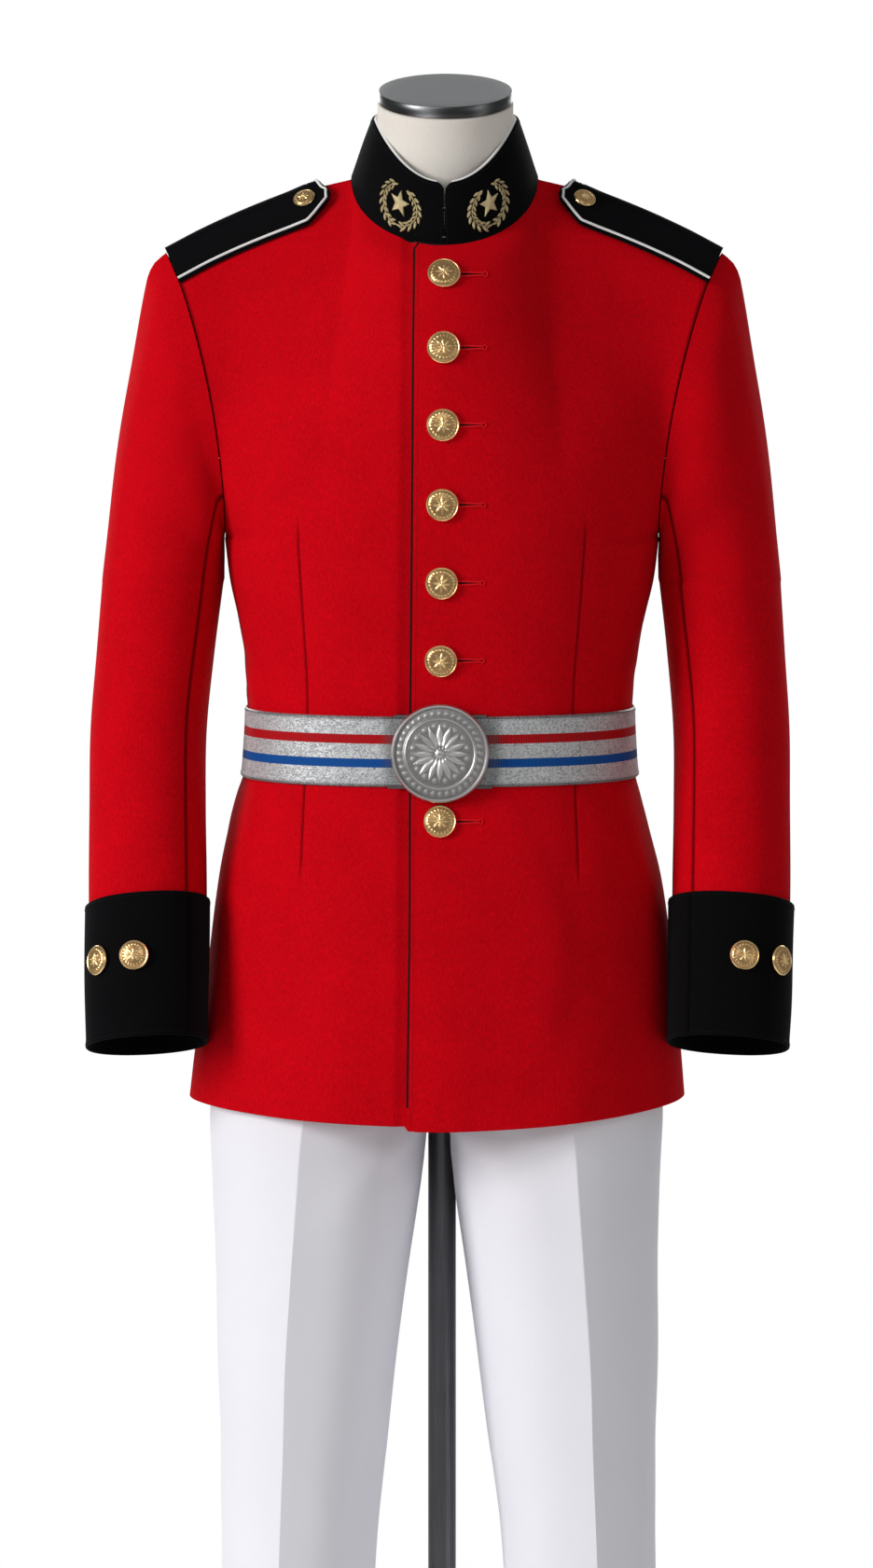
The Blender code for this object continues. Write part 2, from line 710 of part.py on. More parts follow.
def shoulder_path(angle):
    """Fine points over the shoulder at one angle, with the run from the seam, front first."""
    path = []
    for i in range(16, -1, -1):
        path.append(Vector(high_point("front", angle, 1 - 0.28 * i / 16)))
    seam = len(path) - 1
    for i in range(1, 11):
        path.append(Vector(high_point("back", angle, 1 - 0.18 * i / 10)))
    runs = [0.0]
    for a, b in zip(path, path[1:]):
        runs.append(runs[-1] + (b - a).length)
    return [(r - runs[seam], *p) for r, p in zip(runs, path)]


def strap_point(side, run, v, out):
    """Point over the shoulder: run 0 tip to 1 outer end, v metres behind the seam."""
    angle = 38.5 + (89.9 - 38.5) * run
    path = shoulder_path(angle)
    p = Vector([smooth(path, v, c) for c in (1, 2, 3)])
    ahead = Vector([smooth(path, v + 0.002, c) for c in (1, 2, 3)])
    behind = Vector([smooth(path, v - 0.002, c) for c in (1, 2, 3)])
    other = Vector([smooth(shoulder_path(angle - 1.0), v, c) for c in (1, 2, 3)])
    n = (p - other).cross(ahead - behind).normalized()
    if n.z < 0:
        n = -n
    p = p + n * out
    return Vector((side * p.x, p.y, p.z)), Vector((side * n.x, n.y, n.z))


STRAP_RUNS = (0.0, 0.06, 0.14, 0.32, 0.52, 0.72, 0.88, 1.0)


def strap_lift(run):
    """Clearance under the strap: its buttoned tip stands a little higher."""
    return 0.0008 + 0.0019 * (1 - ease(0.05, 0.30, run))


STRAP_MIDDLE = -0.0160
STRAP_LINES = (-0.0420, -0.0290, STRAP_MIDDLE, 0.0, 0.0100)


def strap_cross(run):
    """Distances behind the shoulder seam of a strap's lines; they close in at its tip."""
    grow = min(1.0, 0.34 + run / 0.12 * 0.66)
    return [STRAP_MIDDLE + (line - STRAP_MIDDLE) * grow for line in STRAP_LINES]


def shoulder_strap(name, side):
    rows = []
    for run in STRAP_RUNS:
        row = [strap_point(side, run, v, strap_lift(run) + STRAP_BOARD)[0] for v in strap_cross(run)]
        rows.append([leaning(*p) for p in row])
    return sheet(name, rows, STRAP_BOARD, "black_wool", Vector((side * 0.15, 0.0, 1.2)))


def strap_piping(name, side):
    """White cord round the strap's upper edge: front edge, tip and back edge."""
    edge = [(run, strap_cross(run)[0]) for run in reversed(STRAP_RUNS)]
    edge += [(run, strap_cross(run)[-1]) for run in STRAP_RUNS]
    points = []
    for run, v in edge:
        height = strap_lift(run) + STRAP_BOARD - 0.0012
        p, n = strap_point(side, run, v, height)
        middle, _ = strap_point(side, max(run, 0.10), STRAP_MIDDLE, height)
        away = p - middle
        away -= n * away.dot(n)
        points.append(leaning(*(p + away.normalized() * 0.0019)))
    return tube(name, points, 0.0011, "white_piping", 1)


def front_piping():
    """Fine cord along the edge of the lap from the hem up to the collar."""
    points = []
    for z in (0.798, 0.86, 0.93, 1.0, 1.067, 1.0955, 1.124, 1.2, 1.262, 1.33, 1.40, 1.45, 1.485):
        p = front_xyz(LAP_X - 0.0012, z, -0.0010)
        points.append(p)
    return tube("front_piping", points, 0.0008, "black_wool", 1)


def loop_round(front, back, doubled=False):
    """Join the left halves of a loop, given from the centre out, and mirror them."""
    left = front + (back if doubled else back[:-1])[::-1]
    right = [(-x, y, z) for x, y, z in left[1:-1]]
    return [leaning(*p) for p in left + right[::-1]]


def ring(z, half, front, back, doubled=False):
    """Closed loop round the body on the same angles as the tunic's panels."""
    ahead = [(section(a, half, front)[0], -section(a, half, front)[1], z) for a in ANGLES]
    behind = [(*section(a, half, back), z) for a in ANGLES]
    return loop_round(ahead, behind, doubled)


def belt():
    out = GAP + 0.0004 + WEBBING
    rows = []
    for z in BELT_Z:
        half, front, back = (smooth(TORSO, z, c) + out for c in (1, 2, 3))
        rows.append(ring(z, half, front, back))
    return sheet("belt", rows, WEBBING, "webbing", Vector((0, 0, 1.09)), True)


def buckle():
    """Round plate with a raised rim, a ring and a generic rosette of sixteen rays."""
    steps = 32
    rings = ((0.0008, 0.0076), (0.0080, 0.0070), (0.0165, 0.0056), (0.0250, 0.0042),
             (0.0270, 0.0056), (0.0300, 0.0056), (0.0315, 0.0042), (0.0350, 0.0042),
             (0.0362, 0.0062), (0.0382, 0.0060), (BUCKLE_R, 0.0046), (BUCKLE_R, 0.0))
    rows = []
    for r, h in rings:
        row = []
        for i in range(steps):
            a = 2 * math.pi * i / steps
            ray = 0.5 + 0.5 * math.cos(16 * a)
            lift = 0.0014 * ray if 0.010 < r < 0.024 else 0.0
            row.append(Vector((r * math.cos(a), r * math.sin(a), h + lift)))
        rows.append(row)
    mesh = grid_mesh("buckle", rows, True)
    bm = bmesh.new()
    bm.from_mesh(mesh)
    bmesh.ops.holes_fill(bm, edges=[e for e in bm.edges if e.is_boundary])
    face_outwards(bm)
    bm.to_mesh(mesh)
    bm.free()
    obj = add("buckle", mesh, "silvered")
    at = leaning(0.0, -0.1258, 1.0945)
    obj.matrix_world = Matrix.Translation(at) @ Matrix.Rotation(math.radians(87.5), 4, "X")
    return obj


LEG_N = ROUNDNESS


def trouser_section(z, angle, side):
    """Leg or half seat at a level: angle 0 outer side, 90 front, 180 inner, 270 back."""
    a = math.radians(angle)
    cx, half = smooth(LEG, z, 1), smooth(LEG, z, 2)
    deep = smooth(LEG, z, 4 if angle <= 180 else 5)
    x = cx + half * power(math.cos(a), 2 / LEG_N)
    y = smooth(LEG, z, 3) - deep * power(math.sin(a), 2 / LEG_N)
    crease = smooth(LEG, z, 6) - x
    sharp = smooth(LEG, z, 7) * math.exp(-abs(crease) / 0.030)
    y -= math.copysign(sharp, math.sin(a)) * min(1.0, abs(math.sin(a)) * 1.6)
    beside_pole = math.exp(-(y / 0.034) ** 4) * ease(0.62, 0.76, z) * ease(0.868, 0.845, z)
    room = (POLE_R + 0.0032 - side * smooth(LEAN, z)) * beside_pole
    return leaning(side * max(x, room, GAP / 2), y, z)


def inner_angle(z, back):
    """Angle at which a section meets the centre plane, or the inseam below the crotch."""
    if z <= CROTCH_Z:
        return 180.0
    cx, half = smooth(LEG, z, 1), smooth(LEG, z, 2)
    reach = math.degrees(math.acos(-power(min(1.0, cx / half), LEG_N / 2)))
    return 360 - reach if back else reach


def crease_angle(z, back):
    cx, half, xc = (smooth(LEG, z, c) for c in (1, 2, 6))
    q = max(-0.999, min(0.999, (xc - cx) / half))
    a = math.degrees(math.acos(power(q, LEG_N / 2)))
    return 360 - a if back else a


def trouser_panel(name, side, back):
    """Front or back panel of one leg, from the side seam over the crease to the inner seam."""
    rows = []
    for z in LEG_Z:
        crease, inner = crease_angle(z, back), inner_angle(z, back)
        outer, sign = (360.0, -1.0) if back else (0.0, 1.0)
        gap = 90.0 - seam_end(0.11)
        start = outer + sign * gap
        end = inner - sign * gap if z <= CROTCH_Z else inner
        angles = [start + (crease - start) * i / 4 for i in range(4)]
        angles += [crease + (end - crease) * i / 5 for i in range(6)]
        rows.append([(angle, z) for angle in angles])

    def surface(angle, z):
        return trouser_section(z, angle, side)

    return shell(name, surface, rows, TROUSER_CLOTH, "white_cloth",
                 lambda z: Vector((side * max(0.02, smooth(LEG, z)), 0.0, z)))


def waistband():
    rows = []
    for z in (WAISTBAND_LOW, TROUSER_TOP):
        half, front, back = (smooth(LEG, z, c) + 0.0002 for c in (2, 4, 5))
        rows.append(ring(z, half, front, back))
    return sheet("trouser_waistband", rows, TROUSER_CLOTH, "white_cloth", Vector((0, 0, 1.08)), True)


# z, half width, front depth, back depth of the form up to its waist
FORM_LOW = (
    (0.862, 0.1380, 0.0880, 0.0960),
    (0.885, 0.1580, 0.1030, 0.1130),
    (0.930, 0.1685, 0.1120, 0.1210),
    (0.975, 0.1660, 0.1130, 0.1180),
    (1.020, 0.1580, 0.1120, 0.1100),
    (WAISTBAND_LOW, 0.1540, 0.1130, 0.1070),
    (TROUSER_TOP, 0.1542, 0.1136, 0.1060),
)
# z, clearance of the form behind the tunic's outer face
FORM_HIGH = ((1.123, 0.0068), (1.200, 0.0095), (UNDERARM_Z, 0.0095))
FORM_RISE = ((0.0, 0.0095), (0.52, 0.0085), (0.84, 0.0050), (0.94, 0.0034), (1.0, 0.0030))


def form_rings():
    """Closed loops of the form's surface from the seat to the shoulder line."""
    rings = [ring(*row, doubled=True) for row in FORM_LOW]
    for z, inset in FORM_HIGH:
        sizes = [smooth(TORSO, z, c) - inset for c in (1, 2, 3)]
        rings.append(ring(z, *sizes, doubled=True))
    for level in RISE:
        inset = smooth(FORM_RISE, level)
        ahead = [high_point("front", a, level, inset) for a in ANGLES]
        behind = [high_point("back", a, level, inset) for a in ANGLES]
        rings.append(loop_round(ahead, behind, doubled=True))
    return rings


NECK_TOP = 0.1230


def neck_point(angle, along):
    """Point on the neck block at a length along its tilted axis, angle 0 at the front."""
    a = math.radians(angle)
    axis = Vector((0, -math.sin(NECK_TILT), math.cos(NECK_TILT)))
    ahead = Vector((0, -math.cos(NECK_TILT), -math.sin(NECK_TILT)))
    foot = Vector((0, 0.0145, 1.5000)) + axis * along
    return foot + Vector((NECK_R * math.sin(a), 0, 0)) + ahead * NECK_R * math.cos(a)


def open_edges(bm):
    return [e for e in bm.edges if e.is_boundary]


def form_torso():
    """Torso and neck: rings up to the shoulder line, then the neck rises inside the collar."""
    bm = bmesh.new()
    rings = [[bm.verts.new(p) for p in points] for points in form_rings()]
    count = len(rings[0])
    for low, high in zip(rings, rings[1:]):
        for i in range(count):
            j = (i + 1) % count
            bm.faces.new((low[i], low[j], high[j], high[i]))
    bm.faces.new(rings[0][::-1])
    bmesh.ops.remove_doubles(bm, verts=bm.verts, dist=0.0001)
    bmesh.ops.subdivide_edges(bm, edges=open_edges(bm), cuts=1)
    for foot in (True, False):
        grown = bmesh.ops.extrude_edge_only(bm, edges=open_edges(bm))["geom"]
        for v in [g for g in grown if isinstance(g, bmesh.types.BMVert)]:
            centre_y = 0.004 if foot else -0.001
            x = v.co.x - smooth(LEAN, v.co.z)
            angle = math.degrees(math.atan2(x, -(v.co.y - centre_y)))
            c, sn = math.cos(math.radians(angle)), math.sin(math.radians(angle))
            along = 0.0535 - 0.0085 * c + 0.022 * sn * sn if foot else NECK_TOP
            v.co = leaning(*neck_point(angle, along))
    bmesh.ops.holes_fill(bm, edges=open_edges(bm))
    bmesh.ops.dissolve_degenerate(bm, dist=0.00005, edges=bm.edges)
    face_outwards(bm)
    mesh = bpy.data.meshes.new("form_torso")
    bm.to_mesh(mesh)
    bm.free()
    mesh.shade_smooth()
    return add("form_torso", mesh, "linen")


def neck_cap():
    bpy.ops.mesh.primitive_cylinder_add(vertices=32, radius=CAP_R, depth=CAP_THICK)
    obj = adopt(bpy.context.object, "neck_cap", "steel")
    axis = Vector((0, -math.sin(NECK_TILT), math.cos(NECK_TILT)))
    at = neck_point(0, NECK_TOP) - Vector((0, -math.cos(NECK_TILT), -math.sin(NECK_TILT))) * NECK_R
    at = leaning(*at) + axis * (GAP + CAP_THICK / 2)
    obj.matrix_world = facing(at, axis)
    edge = obj.modifiers.new("edge", "BEVEL")
    edge.width = 0.0015
    edge.segments = 1
    edge.limit_method = "ANGLE"
    return obj


def stand():
    hub_top = 0.034
    profile = [(0.0, hub_top), (0.0150, hub_top), (0.0230, 0.0180), (0.0300, BASE_THICK),
               (BASE_R - 0.004, BASE_THICK), (BASE_R, BASE_THICK - 0.004), (BASE_R, 0.0), (0.0, 0.0)]
    mesh, steps = turned("base_plate", profile, 36)
    add_turned("base_plate", mesh, steps, "steel", Matrix.Identity(4))
    low, high = hub_top + GAP, FORM_LOW[0][0] - GAP
    bpy.ops.mesh.primitive_cylinder_add(vertices=24, radius=POLE_R, depth=high - low,
                                        location=(0, 0, (low + high) / 2))
    adopt(bpy.context.object, "pole", "steel")


def front_line():
    """The left front's centre line as (z, y) points, hem to neck."""
    low = [low_point("front", 0.0, z) for z in LEVELS_Z]
    high = [high_point("front", 0.0, rise) for rise in RISE]
    return [(z, y) for _, y, z in low + high]


def buttons():
    mesh, steps = turned("front_button", button_profile(BUTTON_R), 14)
    line = front_line()
    for i, z in enumerate(BUTTON_Z):
        below = max(p for p in line if p[0] <= z)
        above = min(p for p in line if p[0] > z)
        slope = (above[1] - below[1]) / (above[0] - below[0])
        n = Vector((0, -1, slope)).normalized()
        at = leaning(0.0, below[1] + slope * (z - below[0]), z) + n * (GAP + 0.0001)
        add_turned("front_button_%d" % (i + 1), mesh, steps, "gilt", facing(at, n))
    mesh, steps = turned("cuff_button", button_profile(CUFF_BUTTON_R), 14)
    for side, word in ((1, "left"), (-1, "right")):
        for i, psi in enumerate((82.0, 42.5)):
            z = 0.9165
            out = WOOL + GAP + 0.0003
            p = arm_ring(psi, z, out)
            n = (arm_ring(psi + 2, z, out) - arm_ring(psi - 2, z, out)).cross(
                arm_ring(psi, z + 0.01, out) - arm_ring(psi, z - 0.01, out)).normalized()
            if n.x < 0:
                n = -n
            p = p + n * (GAP + 0.0003 - 0.0009 * i)
            n = Vector((side * n.x, n.y, n.z))
            at = leaning(side * p.x, p.y, p.z)
            add_turned("cuff_button_%s_%d" % (word, i + 1), mesh, steps, "gilt", facing(at, n))
    mesh, steps = turned("strap_button", button_profile(STRAP_BUTTON_R), 14)
    for side, word in ((1, "left"), (-1, "right")):
        p, n = strap_point(side, 0.16, STRAP_MIDDLE, strap_lift(0.16) + STRAP_BOARD + GAP + 0.0002)
        add_turned("strap_button_%s" % word, mesh, steps, "gilt", facing(leaning(*p), n))


BADGE_TURN, BADGE_RISE = 31.0, 0.47


def badge_point(side, a, b, out):
    """Point a metres along the collar and b up it from the badge's centre, out from its face."""
    turn = BADGE_TURN + math.degrees(a / 0.0735)
    rise = BADGE_RISE + b / 0.0500
    p = collar_point(turn, rise)
    along = collar_point(turn + 0.5, rise) - collar_point(turn - 0.5, rise)
    n = along.cross(collar_point(turn, rise + 0.02) - collar_point(turn, rise - 0.02)).normalized()
    if n.y > 0:
        n = -n
    p = p + n * out
    return leaning(side * p.x, p.y, p.z + 3 * GAP)


def wreath(name, side):
    """Raised laurel spray, open at the top, its edges cut into leaves."""
    steps = 36
    rows = []
    for edge in range(3):
        row = []
        for i in range(steps + 1):
            t = -150 + 300 * i / steps
            a = math.radians(t)
            leaf = abs(math.sin(math.radians(t * 3.6)))
            outer = 1.0 + 0.05 * leaf
            inner = 0.62 + 0.03 * leaf
            r = inner + (outer - inner) * edge / 2
            row.append(badge_point(side, 0.0178 * r * math.sin(a), -0.0205 * r * math.cos(a),
                                   0.0018 + (0.0008 if edge == 1 else 0.0)))
        rows.append(row)
    return sheet(name, rows, 0.0011, "gold_thread", Vector((0, 0, 1.54)))


def star(name, side):
    """Five-pointed star in the middle of the wreath."""
    points = []
    for i in range(10):
        a = math.radians(36 * i)
        r = 0.0092 if i % 2 == 0 else 0.0040
        points.append((r * math.sin(a), r * math.cos(a) - 0.0005))
    bm = bmesh.new()
    low = [bm.verts.new(badge_point(side, a, b, 0.0006)) for a, b in points]
    high = [bm.verts.new(badge_point(side, a, b, 0.0014)) for a, b in points]
    middle_low = bm.verts.new(badge_point(side, 0, -0.0005, 0.0006))
    middle_high = bm.verts.new(badge_point(side, 0, -0.0005, 0.0026))
    for i in range(10):
        j = (i + 1) % 10
        bm.faces.new((low[i], low[j], high[j], high[i]))
        bm.faces.new((high[i], high[j], middle_high))
        bm.faces.new((low[j], low[i], middle_low))
    face_outwards(bm)
    mesh = bpy.data.meshes.new(name)
    bm.to_mesh(mesh)
    bm.free()
    return add(name, mesh, "gold_thread")


def main():
    for obj in list(bpy.data.objects):
        bpy.data.objects.remove(obj, do_unlink=True)
    collection(NAME)
    stand()
    form_torso()
    neck_cap()
    for side, word in ((1, "left"), (-1, "right")):
        trouser_panel("trouser_front_%s" % word, side, False)
        trouser_panel("trouser_back_%s" % word, side, True)
    waistband()
    for side, word in ((1, "left"), (-1, "right")):
        tunic_panel("tunic_front_%s" % word, "front", side)
        tunic_panel("tunic_back_%s" % word, "back", side)
        sleeve("top_sleeve_%s" % word, side, HINDARM_SEAM - 360, FOREARM_SEAM, TOP_COLUMNS)
        sleeve("under_sleeve_%s" % word, side, FOREARM_SEAM, HINDARM_SEAM, UNDER_COLUMNS)
        cuff("cuff_%s" % word, side)
        shoulder_strap("shoulder_strap_%s" % word, side)
        strap_piping("strap_piping_%s" % word, side)
        wreath("wreath_%s" % word, side)
        star("star_%s" % word, side)
    collar()
    front_piping()
    belt()
    buckle()
    buttons()


main()
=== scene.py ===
"""Looks of a firefighter dress uniform on a limbless dress form.

Every piece of cloth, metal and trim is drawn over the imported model, in metres, in its frame.
"Left" and "right" are the wearer's, the front faces -Y, the floor is at z = 0.
"""
import math

import bmesh
import bpy
import numpy as np
from bpy.props import FloatProperty, FloatVectorProperty, IntProperty, PointerProperty
from mathutils import Matrix, Vector


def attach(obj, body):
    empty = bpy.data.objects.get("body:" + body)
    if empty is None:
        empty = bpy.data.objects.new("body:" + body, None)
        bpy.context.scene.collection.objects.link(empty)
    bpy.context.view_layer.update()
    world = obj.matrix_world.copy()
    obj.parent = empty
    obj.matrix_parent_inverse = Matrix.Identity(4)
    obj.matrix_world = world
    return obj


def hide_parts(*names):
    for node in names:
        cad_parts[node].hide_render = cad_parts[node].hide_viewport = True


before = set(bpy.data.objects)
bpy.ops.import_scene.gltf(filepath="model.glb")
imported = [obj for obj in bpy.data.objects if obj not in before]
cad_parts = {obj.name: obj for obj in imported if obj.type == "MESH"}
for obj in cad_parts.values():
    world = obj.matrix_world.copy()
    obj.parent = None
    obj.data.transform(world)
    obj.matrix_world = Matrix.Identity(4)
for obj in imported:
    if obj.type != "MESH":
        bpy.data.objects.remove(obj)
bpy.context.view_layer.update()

bl_info = {
    "name": "Firefighter dress uniform",
    "version": (1, 0, 0),
    "blender": (4, 5, 0),
    "location": "3D View > Sidebar > Uniform",
    "description": "Draws the cloth, trims and metalwork of a dress uniform on its form",
    "category": "Add Mesh",
}

BODY = "root"

# Cloth walls and gaps
WOOL = 0.0020
TROUSER_CLOTH = 0.0016
COLLAR_CLOTH = 0.0024
STRAP_BOARD = 0.0034
WEBBING = 0.0019
GAP = 0.0003
COLLAR_LIFT = 0.0009
LAP_STEP = WOOL + GAP + 0.0003

# Levels and places
UNDERARM_Z = 1.262
SKIRT_Z = 0.860
BELT_LOW, BELT_MID, BELT_HIGH = 1.0680, 1.0955, 1.1230
CROTCH_Z = 0.815
TROUSER_TOP = 1.1000
WAISTBAND_LOW = 1.0600
TROUSER_HEM = 0.050
LAP_X = -0.0235
UNDERLAP_X = 0.0190
STEP_IN, STEP_OUT = 0.0268, 0.0370
BUTTON_Z = (1.4800, 1.4217, 1.3600, 1.2959, 1.2327, 1.1695, 1.0393)
HOLE_START, HOLE_END = 0.0125, 0.0320
CUFF_BUTTON_R, STRAP_BUTTON_R, BUCKLE_R = 0.0122, 0.0092, 0.0398
BUCKLE_AT = (0.0, -0.1258, 1.0945)
BELT_WIDTH = 0.055
BELT_OFF = GAP + 0.0006
SIDES = ((1, "left"), (-1, "right"))

# Centre of a badge on the collar in degrees and share of height, and its wreath's radii
BADGE_TURN, BADGE_RISE = 31.0, 0.47
WREATH_X, WREATH_Y, WREATH_DROP = 0.0192, 0.0162, 0.0022
COLLAR_END = 0.34
COLLAR_CORNER = 0.0075

# Metres of cloth to a degree round the body, the arm, the cuff and the leg
BODY_DEGREE, ARM_DEGREE, CUFF_DEGREE, LEG_DEGREE = 0.0029, 0.00096, 0.0009, 0.0014
SIDE_SEAM = 89.96

POLE_R = 0.0115
BASE_R = 0.2000
BASE_THICK = 0.0100
NECK_R = 0.0555
NECK_TILT = math.radians(15.0)
NECK_TOP = 0.1230
CAP_R = 0.0550
CAP_THICK = 0.0100

ROUNDNESS = 2.3
NECK_SHARE = 0.40
NECK_ANGLE = 31.0

# z, half width, front depth, back depth of the tunic below the underarm
TORSO = (
    (0.780, 0.2060, 0.1530, 0.1500),
    (0.830, 0.2010, 0.1500, 0.1480),
    (0.900, 0.1925, 0.1450, 0.1450),
    (0.982, 0.1835, 0.1385, 0.1390),
    (1.028, 0.1728, 0.1310, 0.1280),
    (1.052, 0.1660, 0.1262, 0.1195),
    (1.068, 0.1614, 0.1228, 0.1150),
    (1.0955, 0.1593, 0.1213, 0.1110),
    (1.123, 0.1583, 0.1213, 0.1100),
    (1.136, 0.1590, 0.1222, 0.1100),
    (1.167, 0.1617, 0.1248, 0.1110),
    (1.198, 0.1667, 0.1285, 0.1140),
    (1.2286, 0.1738, 0.1320, 0.1170),
    (1.262, 0.1785, 0.1345, 0.1200),
)
# share of the rise, y, z of the centre front and of the centre back above the underarm
CENTRE_FRONT = (
    (0.00, -0.1345, 1.2620),
    (0.25, -0.1350, 1.3240),
    (0.50, -0.1315, 1.3880),
    (0.72, -0.1195, 1.4440),
    (0.88, -0.1000, 1.4820),
    (1.00, -0.0785, 1.5035),
)
CENTRE_BACK = (
    (0.00, 0.1200, 1.2620),
    (0.25, 0.1275, 1.3360),
    (0.50, 0.1270, 1.4160),
    (0.72, 0.1140, 1.4860),
    (0.88, 0.0900, 1.5360),
    (1.00, 0.0620, 1.5650),
)
# share, x, y, z of the armhole edge from the underarm to the shoulder point
ARMHOLE_FRONT = (
    (0.00, 0.1785, 0.0000, 1.2620),
    (0.12, 0.1772, -0.0360, 1.2720),
    (0.28, 0.1782, -0.0560, 1.3020),
    (0.45, 0.1830, -0.0620, 1.3440),
    (0.62, 0.1905, -0.0590, 1.3860),
    (0.78, 0.2015, -0.0480, 1.4300),
    (0.90, 0.2140, -0.0290, 1.4680),
    (1.00, 0.2275, 0.0060, 1.4960),
)
ARMHOLE_BACK = (
    (0.00, 0.1785, 0.0000, 1.2620),
    (0.12, 0.1775, 0.0330, 1.2720),
    (0.28, 0.1795, 0.0530, 1.3060),
    (0.45, 0.1850, 0.0600, 1.3500),
    (0.62, 0.1925, 0.0600, 1.3950),
    (0.78, 0.2030, 0.0520, 1.4400),
    (0.90, 0.2145, 0.0370, 1.4740),
    (1.00, 0.2275, 0.0060, 1.4960),
)
# share of the shoulder seam from the neck, x, y, z
SHOULDER = (
    (0.00, 0.0766, 0.0060, 1.5560),
    (0.25, 0.1120, 0.0080, 1.5470),
    (0.55, 0.1570, 0.0095, 1.5300),
    (0.80, 0.1960, 0.0090, 1.5125),
    (1.00, 0.2275, 0.0060, 1.4960),
)
# z, sideways hang of the cloth on the stand
LEAN = (
    (0.00, -0.0032),
    (0.45, -0.0034),
    (0.81, -0.0038),
    (0.95, -0.0022),
    (1.09, -0.0018),
    (1.23, -0.0005),
    (1.49, 0.0015),
    (1.65, 0.0030),
)
# z, centre x, centre y, half width, half depth of the sleeve below the underarm
SLEEVE = (
    (0.8360, 0.2368, -0.0870, 0.0464, 0.0490),
    (0.9200, 0.2382, -0.0630, 0.0480, 0.0520),
    (0.9820, 0.2393, -0.0450, 0.0484, 0.0545),
    (1.0440, 0.2400, -0.0275, 0.0478, 0.0570),
    (1.1050, 0.2398, -0.0120, 0.0478, 0.0595),
    (1.1670, 0.2350, -0.0015, 0.0485, 0.0620),
    (1.2286, 0.2290, 0.0000, 0.0500, 0.0640),
)
SLEEVE_TOP, SLEEVE_END = 1.2286, 0.9520
CUFF_TOP, CUFF_MOUTH = 0.9645, 0.8525
CUFF_TILT = 0.06
FOREARM_SEAM, HINDARM_SEAM = 132.0, 245.0
SLEEVE_N = 2.15
# share of the way down the sleeve head, share of the way out
HEAD = (
    (0.00, 0.00),
    (0.03, 0.18),
    (0.08, 0.30),
    (0.36, 0.56),
    (0.65, 0.80),
    (0.92, 0.96),
    (1.00, 1.00),
)
# z, leg centre x, half width, leg centre y, front depth, back depth, crease x, crease height
LEG = (
    (0.050, 0.1230, 0.0575, -0.0080, 0.0900, 0.0900, 0.1370, 0.0130),
    (0.2500, 0.1205, 0.0600, -0.0090, 0.0930, 0.0930, 0.1340, 0.0130),
    (0.428, 0.1159, 0.0647, -0.0100, 0.0960, 0.0960, 0.1300, 0.0130),
    (0.520, 0.1109, 0.0697, -0.0100, 0.0990, 0.0990, 0.1265, 0.0130),
    (0.5895, 0.1078, 0.0743, -0.0100, 0.1010, 0.1020, 0.1245, 0.0125),
    (0.659, 0.1036, 0.0793, -0.0090, 0.1030, 0.1060, 0.1200, 0.0120),
    (0.728, 0.0996, 0.0858, -0.0080, 0.1050, 0.1120, 0.1150, 0.0110),
    (0.7800, 0.0972, 0.0903, -0.0060, 0.1080, 0.1190, 0.1110, 0.0090),
    (CROTCH_Z, 0.0935, 0.0930, -0.0040, 0.1110, 0.1260, 0.1060, 0.0070),
    (0.845, 0.0700, 0.1157, -0.0030, 0.1140, 0.1290, 0.1000, 0.0050),
    (0.880, 0.0480, 0.1365, -0.0020, 0.1170, 0.1310, 0.0950, 0.0030),
    (0.930, 0.0250, 0.1560, -0.0010, 0.1200, 0.1300, 0.0900, 0.0015),
    (0.980, 0.0080, 0.1680, 0.0000, 0.1215, 0.1260, 0.0850, 0.0006),
    (1.020, 0.0000, 0.1660, 0.0000, 0.1205, 0.1180, 0.0800, 0.0000),
    (1.060, 0.0000, 0.1588, 0.0000, 0.1172, 0.1120, 0.0750, 0.0000),
    (1.100, 0.0000, 0.1562, 0.0000, 0.1156, 0.1080, 0.0700, 0.0000),
)
# z, half width, front depth, back depth of the form up to its waist
FORM_LOW = (
    (0.862, 0.1380, 0.0880, 0.0960),
    (0.885, 0.1580, 0.1030, 0.1130),
    (0.930, 0.1685, 0.1120, 0.1210),
    (0.975, 0.1660, 0.1130, 0.1180),
    (1.020, 0.1580, 0.1120, 0.1100),
    (WAISTBAND_LOW, 0.1540, 0.1130, 0.1070),
    (TROUSER_TOP, 0.1542, 0.1136, 0.1060),
)
FORM_INSET = ((1.123, 0.0068), (1.200, 0.0095), (UNDERARM_Z, 0.0095))
FORM_RISE = ((0.0, 0.0095), (0.52, 0.0085), (0.84, 0.0050), (0.94, 0.0034), (1.0, 0.0030))

# z and x of the sewn front dart
DART = ((0.975, 0.1150), (1.070, 0.1103), (1.130, 0.1084), (1.200, 0.1125), (1.293, 0.1193))
DART_LOW, DART_HIGH = 0.980, 1.291

